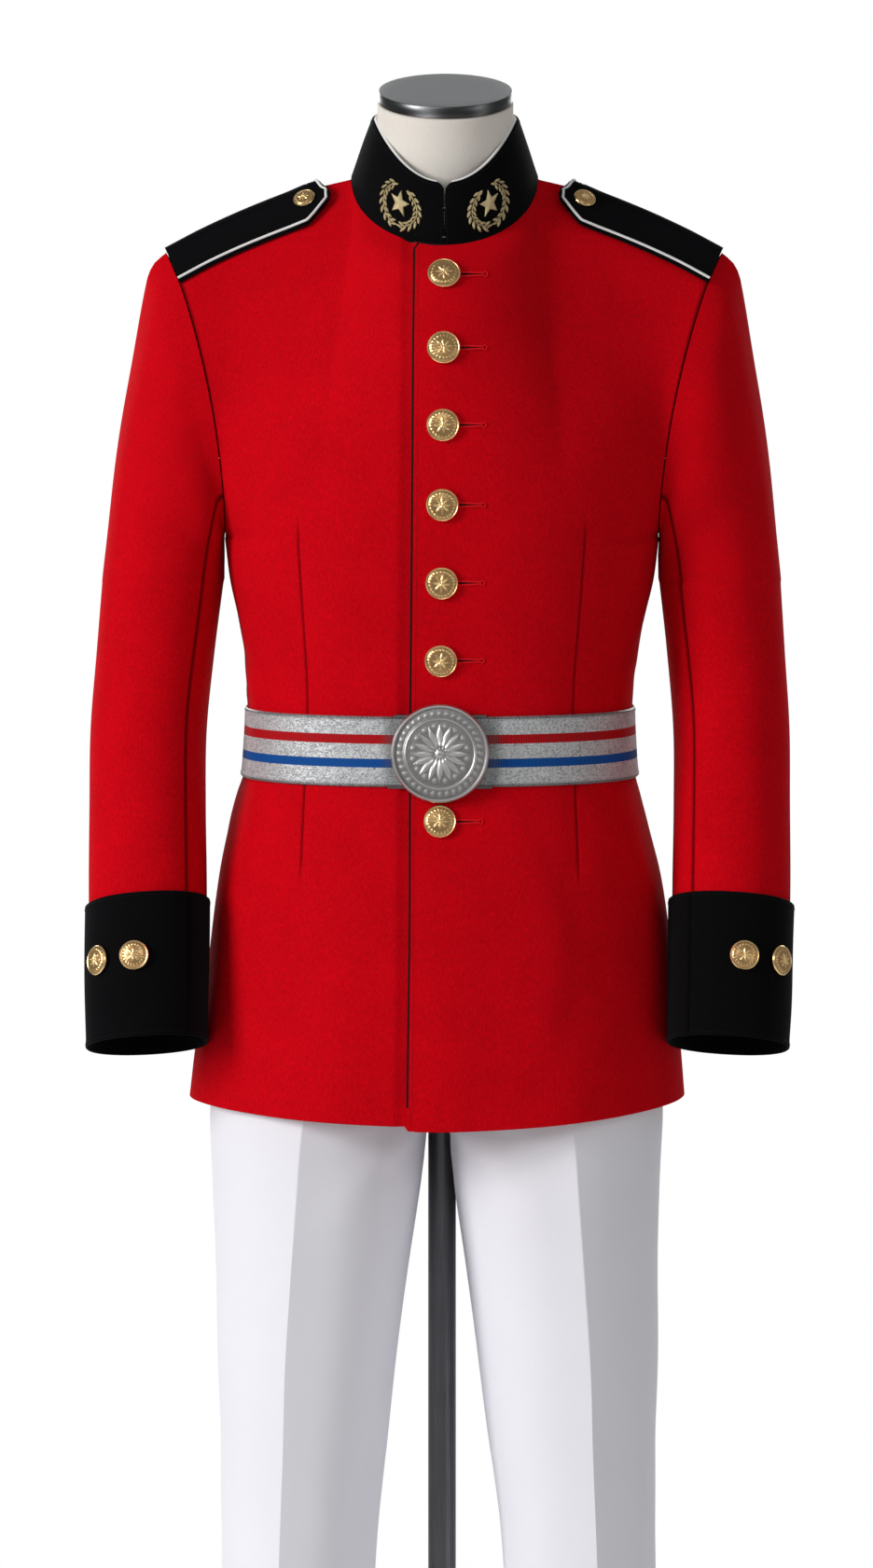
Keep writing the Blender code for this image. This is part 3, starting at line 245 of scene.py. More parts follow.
# Soft folds: place round in degrees, z, lie in degrees from upright,
# half length, half width, height
BODY_FOLDS = (
    (64, 1.300, -38, 0.050, 0.013, -0.0016),
    (57, 1.322, -40, 0.060, 0.016, 0.0015),
    (-63, 1.296, 36, 0.052, 0.014, -0.0018),
    (-55, 1.320, 40, 0.055, 0.016, 0.0013),
    (74, 1.165, 66, 0.040, 0.012, -0.0016),
    (-76, 1.158, -62, 0.044, 0.012, -0.0018),
    (104, 1.150, 80, 0.050, 0.011, -0.0022),
    (-100, 1.154, -84, 0.048, 0.011, -0.0020),
    (128, 1.168, 84, 0.060, 0.013, -0.0024),
    (-132, 1.162, -80, 0.062, 0.013, -0.0022),
    (158, 1.150, 88, 0.050, 0.012, -0.0022),
    (-160, 1.176, 92, 0.055, 0.013, -0.0018),
    (146, 1.250, 24, 0.080, 0.018, -0.0022),
    (-143, 1.245, -26, 0.085, 0.019, -0.0024),
    (120, 1.300, 30, 0.060, 0.016, 0.0020),
    (-122, 1.305, -32, 0.060, 0.016, 0.0018),
    (44, 0.930, 3, 0.110, 0.022, -0.0020),
    (-41, 0.925, -4, 0.110, 0.024, -0.0022),
    (70, 0.920, 2, 0.120, 0.020, 0.0022),
    (-68, 0.915, -3, 0.120, 0.021, 0.0020),
    (112, 0.920, 2, 0.130, 0.020, -0.0034),
    (-110, 0.915, -3, 0.130, 0.020, -0.0032),
    (138, 0.920, -2, 0.130, 0.024, 0.0032),
    (-140, 0.915, 3, 0.130, 0.024, 0.0034),
    (163, 0.930, 2, 0.130, 0.018, -0.0030),
    (-161, 0.930, -2, 0.130, 0.018, -0.0030),
    (20, 1.020, 74, 0.030, 0.010, -0.0008),
    (-32, 1.026, -70, 0.035, 0.010, -0.0010),
)
# the same, round the arm: 0 outer, 90 front, 180 inner, 270 back
ARM_FOLDS = (
    (72, 1.150, 42, 0.055, 0.020, -0.0014),
    (58, 1.080, 30, 0.070, 0.026, 0.0014),
    (96, 1.075, 52, 0.045, 0.015, -0.0018),
    (118, 1.110, 66, 0.035, 0.012, -0.0016),
    (110, 1.045, 58, 0.040, 0.014, -0.0014),
    (150, 1.095, 84, 0.040, 0.011, -0.0022),
    (165, 1.130, 80, 0.036, 0.011, -0.0018),
    (158, 1.055, 96, 0.038, 0.011, -0.0018),
    (286, 1.120, 60, 0.050, 0.018, 0.0018),
    (270, 1.070, 70, 0.045, 0.016, -0.0016),
    (300, 1.180, 30, 0.060, 0.020, -0.0018),
    (34, 1.000, 12, 0.050, 0.020, -0.0010),
    (330, 1.020, -10, 0.070, 0.022, -0.0012),
    (84, 0.985, 70, 0.030, 0.010, -0.0008),
)
# the same, round a leg: 0 outer side, 90 front, 180 inner, 270 back
LEG_FOLDS = (
    (132, 0.790, 52, 0.050, 0.014, -0.0026),
    (150, 0.760, 60, 0.050, 0.013, -0.0024),
    (118, 0.745, 38, 0.060, 0.018, 0.0016),
    (200, 0.780, 86, 0.040, 0.013, -0.0030),
    (230, 0.765, -58, 0.055, 0.016, -0.0032),
    (252, 0.735, -50, 0.060, 0.018, 0.0024),
    (215, 0.730, -64, 0.050, 0.014, -0.0026),
    (244, 0.480, 84, 0.050, 0.014, -0.0030),
    (262, 0.455, 96, 0.046, 0.013, -0.0028),
    (286, 0.500, 76, 0.050, 0.014, -0.0026),
    (238, 0.430, 80, 0.045, 0.013, 0.0022),
    (300, 0.470, 100, 0.040, 0.014, -0.0020),
    (40, 0.620, 6, 0.120, 0.030, -0.0012),
    (60, 0.300, -4, 0.150, 0.028, -0.0012),
    (140, 0.330, 5, 0.150, 0.028, 0.0012),
    (20, 0.120, 70, 0.050, 0.016, -0.0016),
    (320, 0.110, 82, 0.055, 0.015, -0.0020),
    (110, 0.100, 84, 0.040, 0.015, -0.0014),
    (200, 0.115, 96, 0.045, 0.015, -0.0018),
)


def smooth(rows, key, column=1):
    """Values of one column of a table at many keys, on a smooth curve through its rows."""
    table = np.array(rows, float)
    x, y = table[:, 0], table[:, column]
    slope = np.empty(len(x))
    slope[1:-1] = (y[2:] - y[:-2]) / (x[2:] - x[:-2])
    slope[0] = (y[1] - y[0]) / (x[1] - x[0])
    slope[-1] = (y[-1] - y[-2]) / (x[-1] - x[-2])
    key = np.clip(np.asarray(key, float), x[0], x[-1])
    i = np.clip(np.searchsorted(x, key, "right") - 1, 0, len(x) - 2)
    span = x[i + 1] - x[i]
    t = (key - x[i]) / span
    t2, t3 = t * t, t * t * t
    return ((2 * t3 - 3 * t2 + 1) * y[i] + (t3 - 2 * t2 + t) * slope[i] * span
            + (-2 * t3 + 3 * t2) * y[i + 1] + (t3 - t2) * slope[i + 1] * span)


def ease(edge0, edge1, value):
    """0 before edge0, 1 past edge1 and smooth between them."""
    t = np.clip((value - edge0) / (edge1 - edge0), 0.0, 1.0)
    return t * t * (3 - 2 * t)


def bell(value, width, exponent=2):
    """1 at 0, falling away on both sides."""
    return np.exp(-np.abs(value / width) ** exponent)


def run_along(p, axis=0):
    """Length run along lines of points, from 0 at their start."""
    steps = np.linalg.norm(np.diff(p, axis=axis), axis=-1)
    pad = [(0, 0)] * steps.ndim
    pad[axis] = (1, 0)
    return np.cumsum(np.pad(steps, pad), axis=axis)


def power(value, exponent):
    return np.sign(value) * np.abs(value) ** exponent


def points(x, y, z):
    """One array of points from arrays of coordinates that may need spreading."""
    return np.stack(np.broadcast_arrays(x, y, z), axis=-1).astype(float)


def leaning(p):
    """The cloth hangs a few millimetres to one side, more or less with its height."""
    p = np.array(p, float)
    p[..., 0] += smooth(LEAN, p[..., 2])
    return p


def unit(v):
    return v / np.maximum(np.linalg.norm(v, axis=-1, keepdims=True), 1e-12)


def creases(table, around, height, per_degree):
    """Height of listed folds, soft and uneven, on a tube with its angle in degrees."""
    total = np.zeros(np.broadcast(around, height).shape)
    for at, z, lie, length, width, rise in table:
        side = ((around - at + 180.0) % 360.0 - 180.0) * per_degree
        up = height - z
        c, s = math.cos(math.radians(lie)), math.sin(math.radians(lie))
        along = up * c + side * s
        across = side * c - up * s + 3.0 * along * along
        wide = width * (1 + 0.35 * np.tanh(across / width))
        total += rise * bell(across, wide) * bell(along, length, 2.4)
    return total


def ripple(p, size, seed):
    """Gentle unevenness of hung cloth, between about -1 and 1."""
    draw = np.random.RandomState(seed)
    total = np.zeros(p.shape[:-1])
    for _ in range(7):
        way = unit(draw.normal(size=3) * (1.0, 1.0, 0.55))
        total += np.sin(p @ way * (2 * math.pi / (size * draw.uniform(0.7, 1.6)))
                        + draw.uniform(0, 2 * math.pi))
    return total / 3.2


def section(angle, half, depth):
    """Superellipse quarter, angle in degrees from the centre line to the side."""
    a = np.radians(angle)
    return half * power(np.sin(a), 2 / ROUNDNESS), depth * power(np.cos(a), 2 / ROUNDNESS)


def low_point(face, angle, z, inset=0.0):
    """Tunic surface below the underarm."""
    half = smooth(TORSO, z) - inset
    depth = smooth(TORSO, z, 2 if face == "front" else 3) - inset
    x, d = section(angle, half, depth)
    return points(x, -d if face == "front" else d, z)


def top_edge(face, share):
    """Neckline, then shoulder seam: share 0 at the centre line, 1 at the shoulder point."""
    row = (CENTRE_FRONT if face == "front" else CENTRE_BACK)[-1]
    a = np.radians(90.0 * np.minimum(share, NECK_SHARE) / NECK_SHARE)
    far = SHOULDER[0][1:]
    neck = points(far[0] * np.sin(a), far[1] + (row[1] - far[1]) * np.cos(a),
                  row[2] + (far[2] - row[2]) * (1 - np.cos(a)))
    s = np.clip((share - NECK_SHARE) / (1 - NECK_SHARE), 0, 1)
    seam = points(*[smooth(SHOULDER, s, c) for c in (1, 2, 3)])
    return np.where((share <= NECK_SHARE)[..., None], neck, seam)


def high_point(face, angle, rise, inset=0.0):
    """Tunic surface from the underarm (rise 0) to the neckline and shoulder (rise 1)."""
    angle, rise = np.broadcast_arrays(np.asarray(angle, float), np.asarray(rise, float))
    centre = CENTRE_FRONT if face == "front" else CENTRE_BACK
    armhole = ARMHOLE_FRONT if face == "front" else ARMHOLE_BACK
    sign = np.where(angle < 0, -1.0, 1.0)
    angle = np.abs(angle)
    out = -1.0 if face == "front" else 1.0
    mid_y, mid_z = smooth(centre, rise, 1), smooth(centre, rise, 2)
    arm = [smooth(armhole, rise, c) for c in (1, 2, 3)]
    reach = 1.0 - 0.10 * ease(0.0, 0.35, rise)
    q = power(np.sin(np.radians(angle)), 2 / ROUNDNESS)

    def fall(value):
        return 1 - np.maximum(0.0, 1 - (value * reach) ** ROUNDNESS) ** (1 / ROUNDNESS)

    f = fall(q) / fall(1.0)
    plain = points(arm[0] * q, mid_y + (arm[1] - mid_y) * f, mid_z + (arm[2] - mid_z) * q ** 1.6)
    share = np.where(angle < NECK_ANGLE, NECK_SHARE * angle / NECK_ANGLE,
                     NECK_SHARE + (1 - NECK_SHARE) * (angle - NECK_ANGLE) / (90 - NECK_ANGLE))
    last_mid, last_arm = centre[-1], armhole[-1]
    last = points(last_arm[1] * q, last_mid[1] + (last_arm[2] - last_mid[1]) * f,
                  last_mid[2] + (last_arm[3] - last_mid[2]) * q ** 1.6)
    p = plain + (top_edge(face, share) - last) * (ease(0.0, 1.0, rise) * rise)[..., None]
    if inset > 0:
        under_lap = LAP_STEP * np.maximum(0.0, 1 - angle / 21.0) if face == "front" else 0.0
        p[..., 0] *= 1 - inset / 0.17
        p[..., 1] -= out * (inset + under_lap) * (1 - rise ** 6 * ease(12.0, NECK_ANGLE, angle))
        p[..., 2] -= (inset + under_lap) * rise ** 2
    p[..., 0] *= sign
    return p


def hem_z(face, x):
    q = np.minimum(1.0, np.abs(x) / 0.20) ** 1.6
    if face == "back":
        return np.full(np.shape(x), 0.8030)
    return np.where(x < LAP_X - 0.001, 0.7940 + 0.0095 * q, 0.7900 + 0.0135 * q)


def tunic_surface(face, side, angle, level):
    """Points of a tunic panel: level from -1 at the hem to 0 at the underarm to 1 at the top."""
    angle, level = np.broadcast_arrays(np.asarray(angle, float), np.asarray(level, float))
    out = -1.0 if face == "front" else 1.0
    x0 = low_point(face, angle, SKIRT_Z)[..., 0]
    bottom = hem_z(face, side * x0)
    drop = np.clip(-level, 0, 1)
    z = UNDERARM_Z - drop * (UNDERARM_Z - bottom)
    low = low_point(face, angle, z)
    high = high_point(face, angle, np.clip(level, 0, 1))
    high[..., 1] += out * GAP / 2 * ease(0.9, 1.0, level)
    high[..., 0] -= GAP / 2 * ease(75.0, 90.0, angle)
    p = np.where((level <= 0)[..., None], low, high)
    if face == "back":
        p[..., 0] = np.maximum(p[..., 0], GAP / 2)
    p[..., 0] *= side
    if face == "front" and side < 0:
        step = LAP_STEP * ease(-STEP_OUT, -STEP_IN, p[..., 0])
        pitch = np.radians(46.0 * ease(0.4, 1.0, level))
        p[..., 1] += step * np.cos(pitch)
        p[..., 2] -= step * np.sin(pitch)
    return leaning(p)


def armhole_loop(psi):
    """Point of the armhole; psi 0 at the shoulder point, 90 front, 180 underarm, 270 back."""
    ahead = [smooth(ARMHOLE_FRONT, 1 - psi / 180, c) for c in (1, 2, 3)]
    behind = [smooth(ARMHOLE_BACK, (psi - 180) / 180, c) for c in (1, 2, 3)]
    return points(*[np.where(psi <= 180, a, b) for a, b in zip(ahead, behind)])


def arm_ring(psi, z, out=0.0):
    """Sleeve below the underarm: rings square to the arm, which swings forward.

    Towards the cuff they also drop a little to the outer side.
    """
    a = np.radians(psi)
    half, deep = smooth(SLEEVE, z, 3) + out, smooth(SLEEVE, z, 4) + out
    slope = (smooth(SLEEVE, z + 0.01, 2) - smooth(SLEEVE, z - 0.01, 2)) / 0.02
    dy = -deep * power(np.sin(a), 2 / SLEEVE_N)
    dx = half * power(np.cos(a), 2 / SLEEVE_N)
    drop = dx * CUFF_TILT * ease(1.10, 0.97, z)
    return points(smooth(SLEEVE, z, 1) + dx, smooth(SLEEVE, z, 2) + dy,
                  z - dy * slope * 0.95 - drop)


def sleeve_point(psi, level):
    """level 0..1 down the sleeve head, below 0 the drop under its lowest ring."""
    psi, level = np.broadcast_arrays(np.asarray(psi, float), np.asarray(level, float))
    top = arm_ring(psi, SLEEVE_TOP)
    low = arm_ring(psi, SLEEVE_TOP + np.minimum(level, 0))
    part = np.clip(level, 0, 1)
    seam = armhole_loop(psi % 360)
    out = smooth(HEAD, part)
    full = 0.006 * np.sin(np.pi * np.minimum(1.0, part * 1.6)) * np.abs(np.sin(np.radians(psi)))
    x = seam[..., 0] + 2.5 * GAP + (top[..., 0] - seam[..., 0]) * out
    y = seam[..., 1] + (top[..., 1] - seam[..., 1]) * part
    y = y + np.where(y < 0, -full, full)
    z = seam[..., 2] + (top[..., 2] - seam[..., 2]) * part
    return np.where((level < 0)[..., None], low, points(x, y, z))


def collar_point(turn, rise):
    """turn in degrees from the centre front round the wearer's left, rise 0 seam to 1 top."""
    a = np.radians(turn)
    c, s = np.cos(a), np.sin(a)
    fore, aft = np.maximum(c, 0.0), np.maximum(-c, 0.0)
    base = points(0.0766 * s, 0.0060 - np.where(c > 0, 0.0845, 0.0560) * c,
                  1.5560 - 0.0525 * fore + 0.0090 * aft + 0.0016 * s ** 4)
    top = points(0.0602 * power(s, 0.95), -0.0050 - np.where(c > 0, 0.0665, 0.0520) * c,
                 1.6040 - 0.0515 * fore ** 1.8 + 0.0120 * aft)
    rise = np.asarray(rise, float)
    p = base + (top - base) * rise[..., None]
    p[..., 1] -= 0.0015 * np.sin(np.pi * rise) * (0.5 + 0.5 * c)
    p[..., 2] += COLLAR_LIFT
    return p


def trouser_section(z, angle, side):
    """Leg or half seat at a level: angle 0 outer side, 90 front, 180 inner, 270 back."""
    a = np.radians(angle)
    cx, half = smooth(LEG, z, 1), smooth(LEG, z, 2)
    deep = np.where(angle <= 180, smooth(LEG, z, 4), smooth(LEG, z, 5))
    x = cx + half * power(np.cos(a), 2 / ROUNDNESS)
    y = smooth(LEG, z, 3) - deep * power(np.sin(a), 2 / ROUNDNESS)
    crease = smooth(LEG, z, 6) - x
    sharp = smooth(LEG, z, 7) * np.exp(-np.abs(crease) / 0.030)
    y = y - np.sign(np.sin(a)) * sharp * np.minimum(1.0, np.abs(np.sin(a)) * 1.6)
    beside_pole = bell(y, 0.034, 4) * ease(0.62, 0.76, z) * ease(0.868, 0.845, z)
    room = (POLE_R + 0.0032 - side * smooth(LEAN, z)) * beside_pole
    return leaning(points(side * np.maximum(x, np.maximum(room, GAP / 2)), y, z))


def neck_point(angle, along, radius=NECK_R):
    """Point on the neck block at a length along its tilted axis, angle 0 at the front."""
    a = np.radians(angle)
    axis = np.array((0, -math.sin(NECK_TILT), math.cos(NECK_TILT)))
    ahead = np.array((0, -math.cos(NECK_TILT), -math.sin(NECK_TILT)))
    foot = np.array((0, 0.0145, 1.5000))
    aside = points(radius * np.sin(a), 0.0, 0.0)
    shape = np.broadcast(a, along).shape
    along = np.broadcast_to(along, shape)[..., None]
    reach = np.broadcast_to(radius * np.cos(a), shape)[..., None]
    return foot + axis * along + aside + ahead * reach


# Shader expressions


class Val:
    """A shader socket that Python's operators work on; each makes one Math node."""

    def __init__(self, paint, socket):
        self.paint, self.socket = paint, socket

    def __add__(self, other):
        return self.paint.maths("ADD", self, other)

    def __radd__(self, other):
        return self.paint.maths("ADD", other, self)

    def __sub__(self, other):
        return self.paint.maths("SUBTRACT", self, other)

    def __rsub__(self, other):
        return self.paint.maths("SUBTRACT", other, self)

    def __mul__(self, other):
        return self.paint.maths("MULTIPLY", self, other)

    def __rmul__(self, other):
        return self.paint.maths("MULTIPLY", other, self)

    def __truediv__(self, other):
        return self.paint.maths("DIVIDE", self, other)


class Paint:
    """One material and the nodes that make its finish."""

    def __init__(self, name, roughness=0.8, metallic=0.0, **constants):
        self.material = bpy.data.materials.new(name)
        self.material.use_nodes = True
        self.tree = self.material.node_tree
        self.shader = self.tree.nodes["Principled BSDF"]
        self.shader.inputs["Roughness"].default_value = roughness
        self.shader.inputs["Metallic"].default_value = metallic
        for key, value in constants.items():
            self.shader.inputs[key.replace("_", " ")].default_value = value

    def feed(self, socket, value):
        if isinstance(value, Val):
            self.tree.links.new(value.socket, socket)
        elif isinstance(value, bpy.types.NodeSocket):
            self.tree.links.new(value, socket)
        elif socket.type == "RGBA" and len(value) == 3:
            socket.default_value = (*value, 1.0)
        else:
            socket.default_value = value

    def node(self, kind, settings=None, sockets=None):
        """A node of a type, its settings made first, then values or links of its sockets."""
        made = self.tree.nodes.new("ShaderNode" + kind)
        for key, value in (settings or {}).items():
            setattr(made, key, value)
        for key, value in (sockets or {}).items():
            self.feed(made.inputs[key], value)
        return made

    def maths(self, operation, *values, clamp=False):
        made = self.node("Math", {"operation": operation, "use_clamp": clamp},
                         dict(enumerate(values)))
        return Val(self, made.outputs[0])

    def clamp(self, value):
        return self.maths("ADD", value, 0.0, clamp=True)

    def sine(self, value):
        return self.maths("SINE", value)

    def wave(self, value, period):
        """Ribs from 0 to 1, one to each period."""
        return 0.5 + 0.5 * self.sine(value * (2 * math.pi / period))

    def off_middle(self, value):
        return self.maths("ABSOLUTE", value - 0.5)

    def place(self):
        return self.node("TexCoord").outputs["Object"]

    def cloth(self):
        """Place on the flat cut in metres, as a vector and as its two parts."""
        uv = self.node("UVMap", {"uv_map": "cloth"}).outputs[0]
        u, v, _ = self.parts(uv)
        return uv, u, v

    def painted_shading(self):
        """Painted shade value of a point, 0 to 1: on stamped metal it follows the height, lighter
        on heights and rims; on cloth it marks seams to darken; on the neck cap it marks the dark
        rim of a painted reflection.
        """
        made = self.node("Attribute", {"attribute_name": "painted_shading"})
        return Val(self, made.outputs["Fac"])

    def parts(self, vector):
        made = self.node("SeparateXYZ", None, {0: vector})
        return [Val(self, made.outputs[i]) for i in range(3)]

    def noise(self, vector, scale, detail=3.0, rough=0.55, distortion=0.0):
        made = self.node("TexNoise", None, {"Vector": vector, "Scale": scale, "Detail": detail,
                                            "Roughness": rough, "Distortion": distortion})
        return Val(self, made.outputs["Fac"])

    def stretch(self, vector, scale):
        made = self.node("VectorMath", {"operation": "MULTIPLY"}, {0: vector, 1: scale})
        return made.outputs[0]

    def mix(self, factor, low, high):
        return self.node("Mix", {"data_type": "RGBA"}, {0: factor, 6: low, 7: high}).outputs[2]

    def tones(self, factor, colour, low, high):
        """Mix of two shades of one colour."""
        return self.mix(factor, shade(colour, low), shade(colour, high))

    def ranged(self, value, low, high, out_low=0.0, out_high=1.0):
        made = self.node("MapRange", {"interpolation_type": "SMOOTHSTEP"},
                         {0: value, 1: low, 2: high, 3: out_low, 4: out_high})
        return Val(self, made.outputs[0])

    def bump(self, height, distance):
        sockets = {"Height": height, "Distance": distance, "Strength": 1.0}
        return self.node("Bump", None, sockets).outputs[0]

    def finish(self, colour=None, roughness=None, normal=None, metallic=None):
        for name, value in (("Base Color", colour), ("Roughness", roughness),
                            ("Normal", normal), ("Metallic", metallic)):
            if value is not None:
                self.feed(self.shader.inputs[name], value)
        return self.material


def shade(colour, factor):
    return tuple(min(1.0, c * factor) for c in colour)


def wool(name, colour, sheen, sheen_tint, grain):
    """Milled wool twill: fine diagonal ribs and worm-like threads under a short nap.

    The relief attribute is 1 where cloth turns into a seam, and there the colour is darkened as
    painted shade.
    """
    p = Paint(name, 0.9, 0.0, Sheen_Weight=sheen, Sheen_Roughness=0.5,
              Sheen_Tint=(*sheen_tint, 1.0), Specular_IOR_Level=0.035)
    place, (uv, u, v) = p.place(), p.cloth()
    rib = p.wave(u * 0.9 + v, 0.00125)
    nap = p.noise(place, 1400.0, 2.0, 0.6)
    fleck = p.noise(p.stretch(uv, (1.0, 0.45, 1.0)), 620.0, 3.0, 0.7, 0.6)
    thread = p.noise(p.stretch(uv, (420.0, 240.0, 1.0)), 1.0, 2.0, 0.5, 1.1)
    worm = p.ranged(p.off_middle(thread), 0.0, 0.075, 1.0, 0.0)
    cloud = p.noise(place, 26.0, 4.0, 0.6)
    tone = p.clamp(0.42 + (fleck - 0.5) * grain + (nap - 0.5) * 0.35 + (cloud - 0.5) * 0.35
                   + (rib - 0.5) * 0.14 + worm * 0.20)
    height = nap * 0.5 + rib * 0.35 + fleck * 0.6 + worm * 0.35
    cloth = p.tones(tone, colour, 0.60, 1.38)
    # painted shade: the colour goes to a near-black share of itself where the relief attribute
    # marks a seam
    return p.finish(p.mix(p.clamp(p.painted_shading() * 0.85), cloth, shade(colour, 0.06)),
                    0.80 + nap * 0.16, p.bump(height, 0.00022))


def white_twill(name, colour):
    """Pressed trouser cloth: close fine twill, a slight cool cast, and painted shade along its
    seams.
    """
    p = Paint(name, 0.75, 0.0, Sheen_Weight=0.12, Sheen_Roughness=0.4, Specular_IOR_Level=0.25)
    place, (_, u, v) = p.place(), p.cloth()
    rib = p.wave(u + v, 0.0009)
    fibre = p.noise(place, 900.0, 2.0, 0.6)
    cloud = p.noise(place, 9.0, 3.0, 0.55)
    tone = p.clamp(0.5 + (rib - 0.5) * 0.18 + (fibre - 0.5) * 0.45 + (cloud - 0.5) * 0.6)
    cloth = p.tones(tone, colour, 0.92, 1.03)
    # painted shade: darker where the relief attribute marks a seam
    return p.finish(p.mix(p.clamp(p.painted_shading() * 0.5), cloth, shade(colour, 0.45)),
                    0.70 + fibre * 0.15, p.bump(rib * 0.5 + fibre * 0.5, 0.00009))


def linen_cover(name, colour):
    """Cream linen: a plain weave of uneven threads."""
    p = Paint(name, 0.9, 0.0, Sheen_Weight=0.1, Specular_IOR_Level=0.2)
    uv, u, v = p.cloth()
    slub_u = p.noise(p.stretch(uv, (1800.0, 90.0, 1.0)), 1.0, 2.0, 0.6)
    slub_v = p.noise(p.stretch(uv, (90.0, 1800.0, 1.0)), 1.0, 2.0, 0.6)
    turns = 2 * math.pi / 0.0011
    weave = p.sine(u * turns) * p.sine(v * turns) * 0.5 + 0.5
    cloud = p.noise(p.place(), 30.0, 3.0, 0.6)
    tone = p.clamp(0.1 + slub_u * 0.45 + slub_v * 0.35 + (weave - 0.5) * 0.3 + (cloud - 0.5) * 0.2)
    return p.finish(p.tones(tone, colour, 0.80, 1.12), 0.86 + slub_u * 0.08,
                    p.bump(slub_u + slub_v + weave * 0.6, 0.00018))


def cord_piping(name, colour):
    """Twisted cord with a soft shine."""
    p = Paint(name, 0.6, 0.0, Sheen_Weight=0.03, Specular_IOR_Level=0.12)
    place = p.place()
    x, y, z = p.parts(place)
    twist = p.wave(x * 0.9 + y * 0.7 + z * 0.8, 0.0012)
    fibre = p.noise(place, 1500.0, 2.0, 0.6)
    tone = p.clamp(twist * 0.6 + fibre * 0.4)
    return p.finish(p.tones(tone, colour, 0.72, 1.05), 0.55 + fibre * 0.2,
                    p.bump(twist + fibre * 0.4, 0.00012))


def bullion(name, colour):
    """Close gold thread laid side by side, bright where it stands up."""
    p = Paint(name, 0.42, 0.55, Specular_IOR_Level=0.6)
    place, (_, _, v) = p.place(), p.cloth()
    thread = 0.5 + 0.5 * p.sine(v * (2 * math.pi / 0.00055) + p.noise(place, 500.0) * 3.0)
    glint = p.noise(place, 2200.0, 2.0, 0.7)
    tone = p.clamp(thread * 0.65 + glint * 0.5 - 0.1)
    return p.finish(p.tones(tone, colour, 0.38, 1.30), 0.34 + glint * 0.22,
                    p.bump(thread + glint * 0.4, 0.00014))


def sewing_thread(name, colour):
    """Fine thread, uneven along its fibres."""
    p = Paint(name, 0.55, 0.0, Sheen_Weight=0.02, Specular_IOR_Level=0.12)
    fibre = p.noise(p.place(), 3000.0, 2.0, 0.7)
    return p.finish(p.tones(fibre, colour, 0.6, 1.25), 0.5 + fibre * 0.2, p.bump(fibre, 0.00008))


def striped_webbing(name, silver, red, blue):
    """Belt webbing: silver brocade, a red and a blue ribbed stripe, corded edges, and a painted
    shadow of the buckle on the front beside it.
    """
    p = Paint(name, 0.5, 0.3, Specular_IOR_Level=0.15)
    place, (uv, u, v) = p.place(), p.cloth()
    share = v / BELT_WIDTH
    red_band = p.ranged(share, 0.612, 0.618) * p.ranged(share, 0.752, 0.746)
    blue_band = p.ranged(share, 0.262, 0.268) * p.ranged(share, 0.396, 0.390)
    stripe = p.clamp(red_band + blue_band)
    rib = p.wave(u, 0.0021)
    weft = p.wave(v, 0.0008)
    cell_u, cell_v = u / 0.0072, v / 0.0041
    lattice = p.sine((cell_u + cell_v) * 2 * math.pi) * p.sine((cell_u - cell_v) * 2 * math.pi)
    motif = p.noise(p.stretch(uv, (170.0, 240.0, 1.0)), 1.0, 2.0, 0.55, 1.8)
    small = p.noise(p.stretch(uv, (420.0, 520.0, 1.0)), 1.0, 2.0, 0.55, 1.2)
    vine = p.ranged(p.off_middle(motif), 0.014, 0.050)
    twig = p.ranged(p.off_middle(small), 0.010, 0.050)
    brocade = p.clamp(vine * 0.62 + twig * 0.30 + lattice * 0.08 + (small - 0.5) * 0.4)
    glint = p.noise(place, 2600.0, 2.0, 0.7)
    edge = p.clamp(p.ranged(share, 0.050, 0.020) + p.ranged(share, 0.950, 0.980))
    colour = p.tones(p.clamp(brocade * 0.85 + glint * 0.20), silver, 0.22, 1.12)
    colour = p.mix(red_band, colour, p.tones(rib, red, 0.55, 1.15))
    colour = p.mix(blue_band, colour, p.tones(rib, blue, 0.6, 1.15))
    colour = p.mix(edge * 0.7, colour, shade(silver, 0.16))
    # painted shadow: the front of the webbing goes darker beside the buckle, as if in its shade
    x, y, _ = p.parts(place)
    beside = p.ranged(p.maths("ABSOLUTE", x), 0.052, 0.040) * p.ranged(y, 0.0, -0.02)
    colour = p.mix(beside * 0.55, colour, shade(silver, 0.10))
    height = (brocade * 0.7 + weft * 0.3) * (1 - stripe) + rib * stripe * 0.8 + glint * 0.2
    return p.finish(colour, 0.42 + stripe * 0.25 + glint * 0.12, p.bump(height, 0.00022),
                    (1 - stripe) * 0.40)


def stamped_metal(name, colour, dark, roughness, mottle):
    """Stamped and plated metal with painted shade and highlight: darker in its hollows, lighter on
    its heights.
    """
    p = Paint(name, roughness, 1.0)
    place, high = p.place(), p.painted_shading()
    pit = p.noise(place, 900.0, 3.0, 0.65)
    cloud = p.noise(place, 160.0, 3.0, 0.6)
    # painted shade and highlight: the relief attribute lightens the heights and rims and leaves the
    # hollows dark
    tone = p.clamp(high * 1.15 + (pit - 0.5) * mottle + (cloud - 0.5) * 0.25)
    return p.finish(p.mix(tone, dark, colour), roughness + (1 - high) * 0.14 + (pit - 0.5) * 0.12,
                    p.bump(pit * 0.6 + cloud * 0.4, 0.00006))


